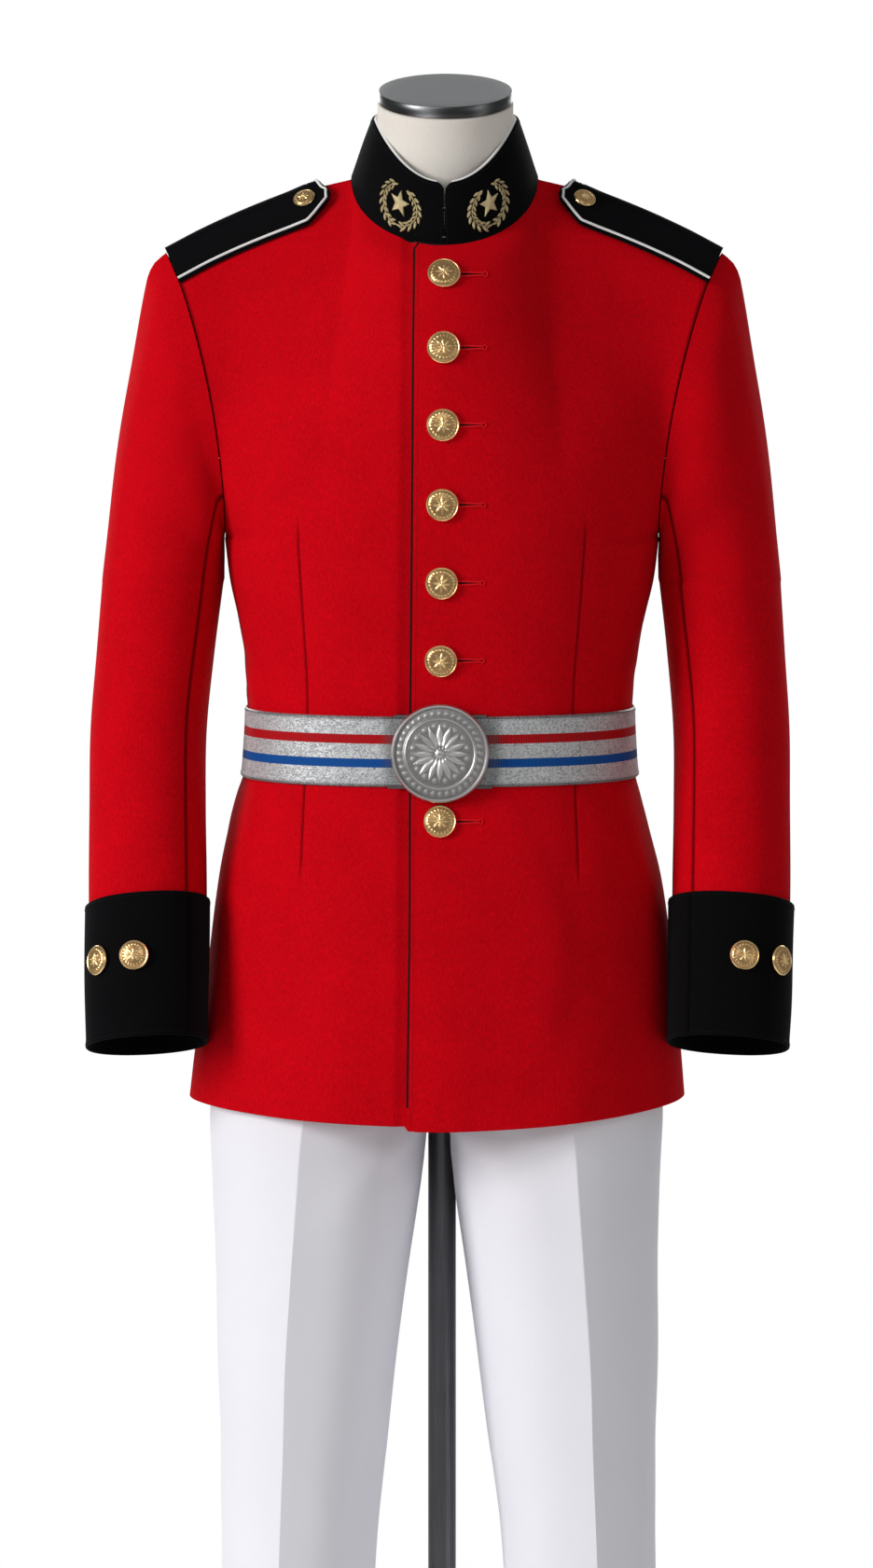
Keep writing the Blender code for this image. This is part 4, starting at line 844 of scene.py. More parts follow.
def brushed_steel(name, colour, dark, roughness, along):
    """Satin steel with fine lines drawn along one direction, and a painted reflection on a rim
    marked by the relief attribute.
    """
    p = Paint(name, roughness, 1.0)
    place = p.place()
    line = p.noise(p.stretch(place, along), 1.0, 3.0, 0.6)
    cloud = p.noise(place, 14.0, 3.0, 0.55)
    tone = p.clamp(0.35 + (line - 0.5) * 0.9 + (cloud - 0.5) * 0.5)
    # painted reflection: where the relief attribute is set, on the neck cap's rim, the colour goes
    # dark with a lighter streak
    return p.finish(p.mix(p.painted_shading(), p.mix(tone, dark, colour), shade(dark, 0.16)),
                    roughness + (line - 0.5) * 0.16, p.bump(line, 0.00002))


def plain_floor(name, colour):
    """Matt floor with hardly any cloud in it."""
    p = Paint(name, 0.7, 0.0, Specular_IOR_Level=0.2)
    return p.finish(p.tones(p.noise(p.place(), 3.0, 3.0, 0.5), colour, 0.99, 1.01))


# Meshes


def new_object(name, mesh, finish, slot, *nodes):
    """Put a finished mesh in the scene; it rides on the one body and may replace solids."""
    obj = bpy.data.objects.new(name, mesh)
    bpy.context.scene.collection.objects.link(obj)
    mesh.materials.clear()
    mesh.materials.append(finish_of(finish))
    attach(obj, BODY)
    if nodes:
        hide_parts(*nodes)
    return obj


def make_mesh(name, verts, faces, uv=None, sharp=35.0, painted_shading=None, outward=True):
    """Mesh from arrays; uv and relief are given for each vertex."""
    mesh = bpy.data.meshes.new(name)
    mesh.from_pydata([tuple(v) for v in verts], [], faces)
    mesh.update()
    if uv is not None:
        layer = mesh.uv_layers.new(name="cloth")
        loops = np.empty(len(mesh.loops), np.int32)
        mesh.loops.foreach_get("vertex_index", loops)
        layer.data.foreach_set("uv", np.asarray(uv, np.float32)[loops].ravel())
    if painted_shading is not None:
        made = mesh.attributes.new("painted_shading", "FLOAT", "POINT")
        made.data.foreach_set("value", np.asarray(painted_shading, np.float32).ravel())
    if outward:
        close_up(opened(mesh), mesh)
    shade_from(mesh, sharp)
    return mesh


def shade_from(mesh, sharp):
    mesh.shade_smooth()
    mesh.set_sharp_from_angle(angle=math.radians(sharp))


def opened(mesh):
    bm = bmesh.new()
    bm.from_mesh(mesh)
    return bm


def close_up(bm, mesh):
    """Turn the faces of a closed body outwards and put it back in its mesh."""
    bmesh.ops.recalc_face_normals(bm, faces=bm.faces)
    if bm.calc_volume(signed=True) < 0:
        bmesh.ops.reverse_faces(bm, faces=bm.faces)
    bm.to_mesh(mesh)
    bm.free()


def weld(mesh, distance):
    """Join points that lie together, close what that leaves open and turn the faces out."""
    bm = opened(mesh)
    bmesh.ops.remove_doubles(bm, verts=bm.verts, dist=distance)
    bmesh.ops.dissolve_degenerate(bm, dist=0.00001, edges=bm.edges)
    bmesh.ops.holes_fill(bm, edges=[e for e in bm.edges if e.is_boundary], sides=0)
    close_up(bm, mesh)
    shade_from(mesh, 40)


def band_faces(rows, cols, first=0):
    """Faces between rings of points that follow each other, from the index of the first."""
    faces = []
    for j in range(rows - 1):
        low, high = first + j * cols, first + (j + 1) * cols
        for i in range(cols):
            m = (i + 1) % cols
            faces.append((low + i, low + m, high + m, high + i))
    return faces


def grid_normals(p, closed=False):
    """Unit normals of a grid of points, rows by columns."""
    if closed:
        across = np.roll(p, -1, axis=1) - np.roll(p, 1, axis=1)
    else:
        across = np.gradient(p, axis=1)
    return unit(np.cross(across, np.gradient(p, axis=0)))


def away_from(p, n, inside):
    """Normals turned so that most of them look away from points inside."""
    return -n if np.sum(n * (inside - p)) > 0 else n


def lengths(p):
    """Flat measures of a grid: length across from its middle column and length along that."""
    across = run_along(p, 1)
    middle = p.shape[1] // 2
    along = run_along(p[:, middle])
    across = across - across[:, middle:middle + 1]
    return np.stack([across, np.repeat(along[:, None], p.shape[1], axis=1)], axis=-1)


def shell(name, outer, inner, uv, closed=False, rolled=(), sharp=42.0, seam=None):
    """A cut piece of cloth as a closed mesh between two grids, with a rim round its edges.

    rolled names the edges that are turned and pressed: "low", "high", "start" and "end".
    """
    rows, cols = outer.shape[:2]
    verts = [outer.reshape(-1, 3), inner.reshape(-1, 3)]
    uvs = [uv.reshape(-1, 2), uv.reshape(-1, 2)]
    # seam gives the outer face's points an amount of painted shade along seams, kept in the relief
    # attribute; the inner face and rims get none
    seam = np.zeros((rows, cols)) if seam is None else np.broadcast_to(seam, (rows, cols))
    seam_shades = [seam.ravel(), seam.ravel() * 0]
    faces = []

    def at(face, j, i):
        return face * rows * cols + j * cols + i % cols

    span = cols if closed else cols - 1
    for j in range(rows - 1):
        for i in range(span):
            faces.append((at(0, j, i), at(0, j, i + 1), at(0, j + 1, i + 1), at(0, j + 1, i)))
            faces.append((at(1, j + 1, i), at(1, j + 1, i + 1), at(1, j, i + 1), at(1, j, i)))
    count = 2 * rows * cols

    def rim(places, edge):
        nonlocal count
        o = np.array([outer[j, i % cols] for j, i in places])
        n = np.array([inner[j, i % cols] for j, i in places])
        beyond = np.array([outer[j, i % cols] - outer[b, c % cols] for (j, i), (b, c) in
                           zip(places, neighbours(edge, places))])
        thick = np.linalg.norm(o - n, axis=1, keepdims=True)
        middle = (o + n) / 2 + (unit(beyond) * thick * 0.38 if edge in rolled else 0)
        verts.append(middle)
        uvs.append(np.array([uv[j, i % cols] for j, i in places]))
        seam_shades.append(np.zeros(len(places)))
        ids = list(range(count, count + len(places)))
        count += len(places)
        loop = closed and edge in ("low", "high")
        pairs = list(zip(range(len(places)), list(range(1, len(places))) + ([0] if loop else [])))
        for a, b in pairs:
            (ja, ia), (jb, ib) = places[a], places[b]
            faces.append((at(0, ja, ia), ids[a], ids[b], at(0, jb, ib)))
            faces.append((ids[a], at(1, ja, ia), at(1, jb, ib), ids[b]))
        return ids

    def neighbours(edge, places):
        step = {"low": (1, 0), "high": (-1, 0), "start": (0, 1), "end": (0, -1)}[edge]
        return [(j + step[0], i + step[1]) for j, i in places]

    rim([(0, i) for i in range(cols)], "low")
    rim([(rows - 1, i) for i in range(cols)], "high")
    if not closed:
        rim([(j, 0) for j in range(rows)], "start")
        rim([(j, cols - 1) for j in range(rows)], "end")
    verts = np.concatenate(verts)
    mesh = make_mesh(name, verts, faces, np.concatenate(uvs), sharp, np.concatenate(seam_shades))
    if not closed:
        close_corners(mesh)
    return mesh


def close_corners(mesh):
    """Join the rim's loops where two edges of a panel meet."""
    bm = opened(mesh)
    loose = [v for v in bm.verts if v.is_boundary]
    bmesh.ops.holes_fill(bm, edges=[e for e in bm.edges if e.is_boundary], sides=8)
    bmesh.ops.remove_doubles(bm, verts=[v for v in loose if v.is_valid], dist=0.00002)
    close_up(bm, mesh)
    shade_from(mesh, 42)


# Outer faces and normals of the drawn cloth, by the solid they stand for
GRIDS = {}


def cloth_piece(node, outer, thickness, inside, finish, held=None, closed=False,
                rolled=(), push=None, seam=None, name=None):
    """Sheet through a grid of points, moved out by push, made solid towards the inside.

    It stands for the solid called node, and where it is held the measures of its flat cut are
    worked out but not kept.
    """
    n = away_from(outer, grid_normals(outer, closed), inside)
    if push is not None:
        outer = outer + n * push[..., None]
        n = away_from(outer, grid_normals(outer, closed), inside)
    name = name or node + "_cloth"
    mesh = shell(name, outer, outer - n * thickness, lengths(outer), closed, rolled, seam=seam)
    obj = new_object(name, mesh, finish, finish, node)
    if held:
        declare_sheet(outer, closed)
    GRIDS[node] = (outer, n)
    return outer, n


def declare_sheet(p, closed=False):
    """Work out the flat cut of a piece, its width, height and cell cross products, without keeping
    or returning them.
    """
    ring = np.concatenate([p, p[:, :1]], axis=1) if closed else p
    width = float(run_along(ring, 1)[:, -1].max())
    height = float(run_along(p)[-1].max())
    crossed = np.cross(ring[1:, 1:] - ring[:-1, :-1], ring[1:, :-1] - ring[:-1, 1:])


def columns(keys, counts):
    """Rows of values that run through key columns, each stretch cut into equal parts."""
    parts = []
    for k, count in enumerate(counts):
        share = np.arange(count) / count
        parts.append(keys[:, k:k + 1] + (keys[:, k + 1:k + 2] - keys[:, k:k + 1]) * share)
    parts.append(keys[:, -1:])
    return np.concatenate(parts, axis=1)


def tube_mesh(name, path, radius, sides=8):
    """Round cord along a path, with closed ends."""
    path = np.asarray(path, float)
    tangent = unit(np.gradient(path, axis=0))
    normal = np.zeros_like(path)
    normal[0] = unit(np.cross(tangent[0], (0.31, 0.17, 0.93)))
    for i in range(1, len(path)):
        normal[i] = unit(normal[i - 1] - tangent[i] * np.dot(normal[i - 1], tangent[i]))
    side = np.cross(tangent, normal)
    a = 2 * math.pi * np.arange(sides) / sides
    ring = normal[:, None] * np.cos(a)[None, :, None] + side[:, None] * np.sin(a)[None, :, None]
    p = path[:, None] + ring * np.reshape(radius, (-1, 1, 1))
    rows = len(path)
    faces = band_faces(rows, sides)
    faces += [tuple(range(sides)), tuple(range((rows - 1) * sides, rows * sides))]
    return make_mesh(name, p.reshape(-1, 3), faces, spread(a * 0.001, run_along(path))[:, ::-1],
                     50.0)


def spread(u, v):
    """Every pair of two lists of values, row by row."""
    return np.stack(np.meshgrid(u, v), axis=-1).reshape(-1, 2)


def new_cord(name, path, radius, sides, finish, slot, *nodes):
    return new_object(name, tube_mesh(name, path, radius, sides), finish, slot, *nodes)


def lathe(name, profile, steps, matrix=None, height=None, painted_shading=None, sharp=35.0):
    """Turned piece: profile of radius and height from the top down; height adds raised detail, and
    relief gives each vertex a painted shade or highlight value.

    The profile starts and ends on the axis.
    """
    a = 2 * math.pi * np.arange(steps) / steps
    rings, ups = [], []
    for r, z in profile[1:-1]:
        ups.append(height(r, a) if height is not None else np.zeros(steps))
        rings.append(points(r * np.cos(a), r * np.sin(a), z + ups[-1]))
    rows = len(rings)
    faces = band_faces(rows, steps)
    verts, ups = np.concatenate(rings), np.concatenate(ups)
    for z, row in ((profile[0][1] + ups[0], 0), (profile[-1][1], rows - 1)):
        faces += [(row * steps + i, row * steps + (i + 1) % steps, len(verts))
                  for i in range(steps)]
        verts = np.concatenate([verts, [(0, 0, z)]])
        ups = np.append(ups, ups[row * steps])
    uv = verts[:, :2]
    shown = painted_shading(verts, ups) if painted_shading is not None else None
    if matrix is not None:
        m = np.array(matrix)
        verts = verts @ m[:3, :3].T + m[:3, 3]
    return make_mesh(name, verts, faces, uv, sharp, shown)


def facing(point, normal, spin=0.0):
    """Matrix that puts a turned piece's axis on a surface normal at a point."""
    n = Vector(normal).normalized()
    up = Vector((0, 0, 1))
    x = up.cross(n)
    x = Vector((1, 0, 0)) if x.length < 1e-4 else x.normalized()
    y = n.cross(x)
    turn = Matrix((x, y, n)).transposed().to_4x4()
    return Matrix.Translation(Vector(point)) @ turn @ Matrix.Rotation(spin, 4, "Z")


# Geometry Nodes


def new_tree(name, inputs, kinds, wires):
    """Geometry Nodes tree that puts instances on points; its nodes have short names.

    A wire is a node, its output, the node it runs to, and the input there.
    """
    tree = bpy.data.node_groups.new(name, "GeometryNodeTree")
    for title, kind in (("Geometry", "Geometry"), *inputs, ("Finish", "Material")):
        tree.interface.new_socket(title, in_out="INPUT", socket_type="NodeSocket" + kind)
    tree.interface.new_socket("Geometry", in_out="OUTPUT", socket_type="NodeSocketGeometry")
    kinds = {"start": "NodeGroupInput", **kinds, "put": "GeometryNodeInstanceOnPoints",
             "real": "GeometryNodeRealizeInstances", "paint": "GeometryNodeSetMaterial",
             "end": "NodeGroupOutput"}
    nodes = {key: tree.nodes.new(kind) for key, kind in kinds.items()}
    wires += (("put", "Instances", "real", "Geometry"), ("start", "Finish", "paint", "Material"),
              ("paint", "Geometry", "end", "Geometry"))
    for source, out, target, into in wires:
        tree.links.new(nodes[source].outputs[out], nodes[target].inputs[into])
    return tree, nodes


def repeat_tree():
    """Copies of one small mesh on points, each turned and sized by its point's attributes."""
    tree, nodes = new_tree(
        "repeat on points", (("Piece", "Object"), ("Size", "Float")),
        {"info": "GeometryNodeObjectInfo", "turn": "GeometryNodeInputNamedAttribute",
         "size": "GeometryNodeInputNamedAttribute", "scaled": "ShaderNodeVectorMath"}, ())
    for key in ("turn", "size"):
        nodes[key].data_type = "FLOAT_VECTOR"
        nodes[key].inputs["Name"].default_value = key
    nodes["scaled"].operation = "SCALE"
    for source, out, target, into in (
            ("start", "Geometry", "put", "Points"), ("start", "Piece", "info", "Object"),
            ("info", "Geometry", "put", "Instance"), ("turn", "Attribute", "put", "Rotation"),
            ("size", "Attribute", "scaled", 0), ("start", "Size", "scaled", "Scale"),
            ("scaled", 0, "put", "Scale"), ("real", "Geometry", "paint", "Geometry")):
        tree.links.new(nodes[source].outputs[out], nodes[target].inputs[into])
    return tree


def stitch_tree():
    """Stitches of one length at one pitch along the edges of a line mesh."""
    tree, nodes = new_tree(
        "stitches along a line", [(name, "Float") for name in ("Pitch", "Length", "Thread")],
        {"line": "GeometryNodeMeshToCurve", "spots": "GeometryNodeCurveToPoints",
         "align": "FunctionNodeAlignEulerToVector", "ball": "GeometryNodeMeshUVSphere",
         "shape": "ShaderNodeCombineXYZ", "soft": "GeometryNodeSetShadeSmooth"},
        (("start", "Geometry", "line", "Mesh"), ("line", "Curve", "spots", "Curve"),
         ("ball", "Mesh", "put", "Instance"), ("start", "Thread", "shape", "X"),
         ("start", "Thread", "shape", "Y"), ("start", "Length", "shape", "Z"),
         ("shape", "Vector", "put", "Scale"), ("real", "Geometry", "soft", "Geometry"),
         ("soft", "Geometry", "paint", "Geometry")))
    nodes["spots"].mode = "LENGTH"
    nodes["align"].axis = "Z"
    for key, value in (("Segments", 6), ("Rings", 4), ("Radius", 0.5)):
        nodes["ball"].inputs[key].default_value = value
    for source, out, target, into in (
            ("start", "Pitch", "spots", "Length"), ("spots", "Points", "put", "Points"),
            ("spots", "Tangent", "align", "Vector"), ("align", "Rotation", "put", "Rotation")):
        tree.links.new(nodes[source].outputs[out], nodes[target].inputs[into])
    return tree


TREES = {}


def grown(name, mesh, make_tree, inputs, slot, finish, *nodes):
    """Run a tree on a mesh of points or lines and keep its result as a plain mesh."""
    if make_tree not in TREES:
        TREES[make_tree] = make_tree()
    tree = TREES[make_tree]
    base = bpy.data.objects.new(name + "_base", mesh)
    bpy.context.scene.collection.objects.link(base)
    modifier = base.modifiers.new("grow", "NODES")
    modifier.node_group = tree
    ids = {s.name: s.identifier for s in tree.interface.items_tree
           if s.item_type == "SOCKET" and s.in_out == "INPUT"}
    for key, value in {**inputs, "Finish": finish_of(finish)}.items():
        modifier[ids[key]] = value
    base.update_tag()
    graph = bpy.context.evaluated_depsgraph_get()
    plain = bpy.data.meshes.new_from_object(base.evaluated_get(graph), depsgraph=graph)
    bpy.data.objects.remove(base)
    plain.name = name
    return new_object(name, plain, finish, slot, *nodes)


def repeated(name, piece, spots, turns, sizes, slot, finish, *nodes):
    """Copies of piece at spots; turns are Euler angles and sizes scales for each."""
    mesh = bpy.data.meshes.new(name + "_spots")
    mesh.from_pydata([tuple(p) for p in spots], [], [])
    for key, values in (("turn", turns), ("size", sizes)):
        made = mesh.attributes.new(key, "FLOAT_VECTOR", "POINT")
        made.data.foreach_set("vector", np.asarray(values, np.float32).ravel())
    holder = bpy.data.objects.new(name + "_piece", piece)
    bpy.context.scene.collection.objects.link(holder)
    grown(name, mesh, repeat_tree, {"Piece": holder, "Size": 1.0}, slot, finish, *nodes)
    bpy.data.objects.remove(holder)


def stitched(name, lines, slot, finish, pitch=1.3, thread=0.00042):
    """Rows of stitches along lines that lie just over the cloth; pitch is in stitches."""
    length = bpy.context.scene.uniform_settings.stitch
    verts, edges = [], []
    for line in lines:
        first = len(verts)
        verts += [tuple(p) for p in line]
        edges += [(first + i, first + i + 1) for i in range(len(line) - 1)]
    mesh = bpy.data.meshes.new(name + "_lines")
    mesh.from_pydata(verts, edges, [])
    inputs = {"Pitch": pitch * length, "Length": length, "Thread": thread}
    grown(name, mesh, stitch_tree, inputs, slot, finish)


def euler_of(matrix):
    return tuple(matrix.to_euler("XYZ"))


MATERIALS = {}


def finish_of(key):
    """The material of a finish, made once from the settings."""
    if key in MATERIALS:
        return MATERIALS[key]
    s = bpy.context.scene.uniform_settings
    maker, *values = {
        "red_wool": (wool, "red wool twill", tuple(s.red), 0.05, (1.0, 0.05, 0.08), 1.0),
        "black_wool": (wool, "black facing cloth", tuple(s.black), 0.03, (0.5, 0.55, 0.65), 0.9),
        "white_cloth": (white_twill, "white trouser cloth", tuple(s.white)),
        "linen": (linen_cover, "cream linen", tuple(s.linen)),
        "white_piping": (cord_piping, "white cord", (0.92, 0.91, 0.89)),
        "black_piping": (cord_piping, "black cord", (0.0030, 0.0018, 0.0018)),
        "gold_thread": (bullion, "gold thread", (1.0, 0.69, 0.38)),
        "red_thread": (sewing_thread, "red thread", (1.0, 0.006, 0.014)),
        "black_thread": (sewing_thread, "black thread", (0.008, 0.008, 0.009)),
        "seam_thread": (sewing_thread, "dark red thread", (0.30, 0.001, 0.004)),
        "white_thread": (sewing_thread, "white thread", (0.78, 0.78, 0.80)),
        "webbing": (striped_webbing, "belt webbing", (0.60, 0.61, 0.62), (0.44, 0.002, 0.006),
                    (0.002, 0.070, 0.300)),
        "gilt": (stamped_metal, "gilt", (1.0, 0.71, 0.34), (0.32, 0.15, 0.05), 0.21, 0.25),
        "silvered": (stamped_metal, "silvered", (0.58, 0.56, 0.55), (0.15, 0.15, 0.15),
                     0.36, 0.40),
        "cap_steel": (brushed_steel, "neck cap steel", (0.62, 0.63, 0.64), (0.40, 0.41, 0.42),
                      0.32, (60.0, 1500.0, 1500.0)),
        "pole_steel": (brushed_steel, "pole steel", (0.20, 0.20, 0.21), (0.10, 0.10, 0.105),
                       0.34, (900.0, 900.0, 25.0)),
        # the shadow in a buttonhole is painted as a near-black sheet
        "slit": (sewing_thread, "shadow in a buttonhole", (0.020, 0.001, 0.001)),
        "floor": (plain_floor, "pale floor", (0.86, 0.86, 0.86)),
    }[key]
    MATERIALS[key] = maker(*values)
    return MATERIALS[key]


def quarter(count):
    return 90.0 * np.arange(count) / (count - 1)


def body_ring(count, z, half, front, back):
    """Rings round the body at rows of levels, from the centre front and its left side."""
    q = quarter(count)[None, :]
    x, d = section(q, half, front)
    xb, db = section(q, half, back)
    left = np.concatenate([points(x, -d, z), points(xb, db, z)[:, :-1][:, ::-1]], axis=1)
    return np.concatenate([left, left[:, 1:-1][:, ::-1] * (-1, 1, 1)], axis=1)


def inset_line(p, n, edge, distance, lift=0.00025):
    """Line over a grid of points, at a distance in from one of its edges."""
    p = p + n * lift
    if edge in ("low", "high"):
        p = p.swapaxes(0, 1)
    if edge in ("high", "end"):
        p = p[:, ::-1]
    return np.array([[np.interp(distance, run_along(row), row[:, c]) for c in range(3)]
                     for row in p])


def round_angle(p):
    """Degrees round the body from the centre front, positive to the wearer's left."""
    return np.degrees(np.arctan2(p[..., 0], -p[..., 1]))


def body_height(p, angle, level):
    """How far hung cloth stands off the plain shape of the tunic's body."""
    around, z = round_angle(p), p[..., 2]
    free = 1 - bell(z - BELT_MID, 0.036, 4)
    top = 1 - ease(0.55, 0.95, level)
    armhole = 1 - ease(66, 86, np.abs(angle)) * ease(-0.02, 0.05, level)
    neck = 1 - ease(0.6, 0.9, level)
    behind = ease(70, 120, np.abs(around))
    skirt = ease(1.05, 0.90, z)
    flutes = np.cos(np.radians(around * 9 + 40 * np.sin(np.radians(around * 2)))) * skirt
    height = creases(BODY_FOLDS, around, z, BODY_DEGREE)
    height = height + 0.0009 * ripple(p, 0.17, 5) + 0.0004 * ripple(p, 0.07, 8)
    height = height + flutes * (0.0009 + 0.0020 * behind)
    return height * free * top * armhole * neck


def colour_setting(name, what, default):
    return FloatVectorProperty(name=name, description="Colour of " + what, subtype="COLOR",
                               size=3, min=0.0, max=1.0, default=default)


def length_setting(name, description, default, low, high):
    return FloatProperty(name=name, description=description, subtype="DISTANCE", unit="LENGTH",
                         default=default, min=low, max=high)


class UniformSettings(bpy.types.PropertyGroup):
    """Colours and sizes of the uniform that a user would change."""

    red: colour_setting("Tunic", "the tunic's wool", (0.560, 0.0008, 0.0060))
    black: colour_setting("Facings", "collar, cuffs and straps", (0.0026, 0.0026, 0.0030))
    white: colour_setting("Trousers", "the trouser cloth", (0.84, 0.83, 0.88))
    linen: colour_setting("Form cover", "the form's linen", (0.82, 0.77, 0.70))
    stitch: length_setting("Stitch length", "Length of one sewn stitch", 0.0024, 0.001, 0.006)
    button: length_setting("Front button radius", "Radius of a front button",
                           0.0134, 0.008, 0.02)
    rays: IntProperty(name="Rosette rays", description="Rays of the rosette on the buckle",
                      default=16, min=5, max=32)


class UNIFORM_OT_stand(bpy.types.Operator):
    """Draw the pole, the base plate and the cap on the neck"""

    bl_idname = "uniform.stand"
    bl_label = "Stand"

    def execute(self, context):
        hub = 0.034
        profile = [(0.0, hub), (0.0125, hub), (0.0150, hub - 0.0012), (0.0156, hub - 0.004),
                   (0.0185, 0.0215), (0.0235, 0.0150), (0.0290, 0.0112), (0.0310, BASE_THICK),
                   (0.10, BASE_THICK), (0.150, BASE_THICK), (BASE_R - 0.004, BASE_THICK),
                   (BASE_R - 0.0018, BASE_THICK - 0.0006), (BASE_R - 0.0004, BASE_THICK - 0.0024),
                   (BASE_R, BASE_THICK - 0.0045), (BASE_R, 0.0008), (BASE_R - 0.0008, 0.0),
                   (0.10, 0.0), (0.0, 0.0)]
        self.turned("base_plate", profile, "cap_steel")
        low, high = hub + GAP, FORM_LOW[0][0] - GAP
        levels = np.linspace(high - 0.001, low + 0.001, 12)
        profile = [(0.0, high), (POLE_R - 0.0008, high)] + [(POLE_R, z) for z in levels]
        profile += [(POLE_R - 0.0008, low), (0.0, low)]
        self.turned("pole", profile, "pole_steel", 64)
        half = CAP_THICK / 2
        profile = [(0.0, half), (0.02, half), (0.04, half), (CAP_R - 0.0016, half),
                   (CAP_R - 0.0006, half - 0.0003), (CAP_R, half - 0.0012),
                   (CAP_R, -half + 0.0012), (CAP_R - 0.0006, -half + 0.0003),
                   (CAP_R - 0.0016, -half), (0.02, -half), (0.0, -half)]
        axis = Vector((0, -math.sin(NECK_TILT), math.cos(NECK_TILT)))
        at = Vector(leaning(neck_point(0.0, NECK_TOP, 0.0))) + axis * (GAP + half)

        def rim(verts, ups):
            """1 on the rim, painted dark as a reflection, less where a painted bright streak of
            reflection crosses it.
            """
            edge = np.linalg.norm(verts[:, :2], axis=1) > CAP_R - 0.0008
            x = verts[:, 0]
            painted_streak = np.maximum(bell(x + 0.016, 0.009), 0.5 * bell(x - 0.030, 0.006))
            return edge * (1 - 0.85 * painted_streak)

        self.turned("neck_cap", profile, "cap_steel", 128, facing(at, axis), rim)
        return {"FINISHED"}

    def turned(self, node, profile, finish, steps=128, matrix=None, painted_shading=None):
        """Steel piece turned on a lathe, drawn for the solid called node."""
        name = node + "_steel"
        new_object(name, lathe(name, profile, steps, matrix, painted_shading=painted_shading), finish, "steel", node)


class UNIFORM_OT_form(bpy.types.Operator):
    """Draw the linen-covered torso and neck that the clothes hang on"""

    bl_idname = "uniform.form"
    bl_label = "Form"

    def execute(self, context):
        q = np.concatenate([np.linspace(0, NECK_ANGLE, 13), np.linspace(NECK_ANGLE, 90, 22)[1:]])
        rings = []

        def loop(ahead, behind):
            left = np.concatenate([ahead, behind[::-1]])
            right = left[1:-1][::-1] * (-1, 1, 1)
            rings.append(leaning(np.concatenate([left, right])))

        for z in np.linspace(FORM_LOW[0][0], TROUSER_TOP, 22):
            half, front, back = (smooth(FORM_LOW, z, c) for c in (1, 2, 3))
            x, d = section(q, half, front)
            xb, db = section(q, half, back)
            loop(points(x, -d, z), points(xb, db, z))
        for z in np.linspace(1.112, UNDERARM_Z, 14):
            inset = smooth(FORM_INSET, z)
            loop(low_point("front", q, z, inset), low_point("back", q, z, inset))
        for rise in np.linspace(0.04, 1.0, 26):
            inset = float(smooth(FORM_RISE, rise))
            loop(high_point("front", q, rise, inset), high_point("back", q, rise, inset))
        half = 2 * len(q)
        cols = 2 * half - 2
        body = np.array(rings)
        ahead = list(range(13))
        behind = [half - 1 - i for i in range(12, -1, -1)]
        left = ahead + behind[1:]
        start = left + [2 * half - 2 - i for i in left[1:-1][::-1]]
        last = body[-1][start]
        angle = np.degrees(np.arctan2(last[:, 0] - smooth(LEAN, last[:, 2]), -(last[:, 1] - 0.004)))
        c, s = np.cos(np.radians(angle)), np.sin(np.radians(angle))
        foot = 0.0535 - 0.0085 * c + 0.022 * s * s
        seam = 0.0006 * bell(angle - 1.5, 0.75)
        neck = [leaning(neck_point(angle, foot + (NECK_TOP - foot) * t, NECK_R - seam - trim))
                for t, trim in zip(np.append(np.linspace(0, 0.965, 23), (0.985, 0.996, 1.0)),
                                   [0.0] * 23 + [0.0002, 0.0009, 0.0021])]
        centre = neck[-1].mean(axis=0)
        neck.append(centre + (neck[-1] - centre) * 0.90)
        neck = np.array(neck)
        across = np.radians(np.linspace(0, 360, cols, endpoint=False)) * 0.11
        along = run_along(body[:, 0])
        rise = along[-1] + np.linspace(0, 1, len(neck)) * 0.08
        uv = [spread(across, along), spread(np.radians(angle) * NECK_R, rise)]
        base, count = len(body) * cols, len(start)
        faces = band_faces(len(body), cols) + band_faces(len(neck), count, base)
        for i in range(count):
            j = (i + 1) % count
            faces.append((base - cols + start[i], base - cols + start[j], base + j, base + i))
        faces.append(tuple(range(cols)))
        faces.append(tuple(base + (len(neck) - 1) * count + i for i in range(count)))
        mesh = make_mesh("form_linen", np.concatenate([body.reshape(-1, 3), neck.reshape(-1, 3)]),
                         faces, np.concatenate(uv), 40.0)
        weld(mesh, 0.00012)
        new_object("form_linen", mesh, "linen", "linen", "form_torso")
        return {"FINISHED"}


def lap_angle(x, level):
    """Angle at which the front of the tunic is x metres from the centre line."""
    a = np.linspace(0, 70, 141)
    found = []
    for row in np.atleast_1d(level):
        p = tunic_surface("front", 1, a, row)
        found.append(np.interp(x, p[:, 0] - smooth(LEAN, p[:, 2]), a))
    return np.array(found)


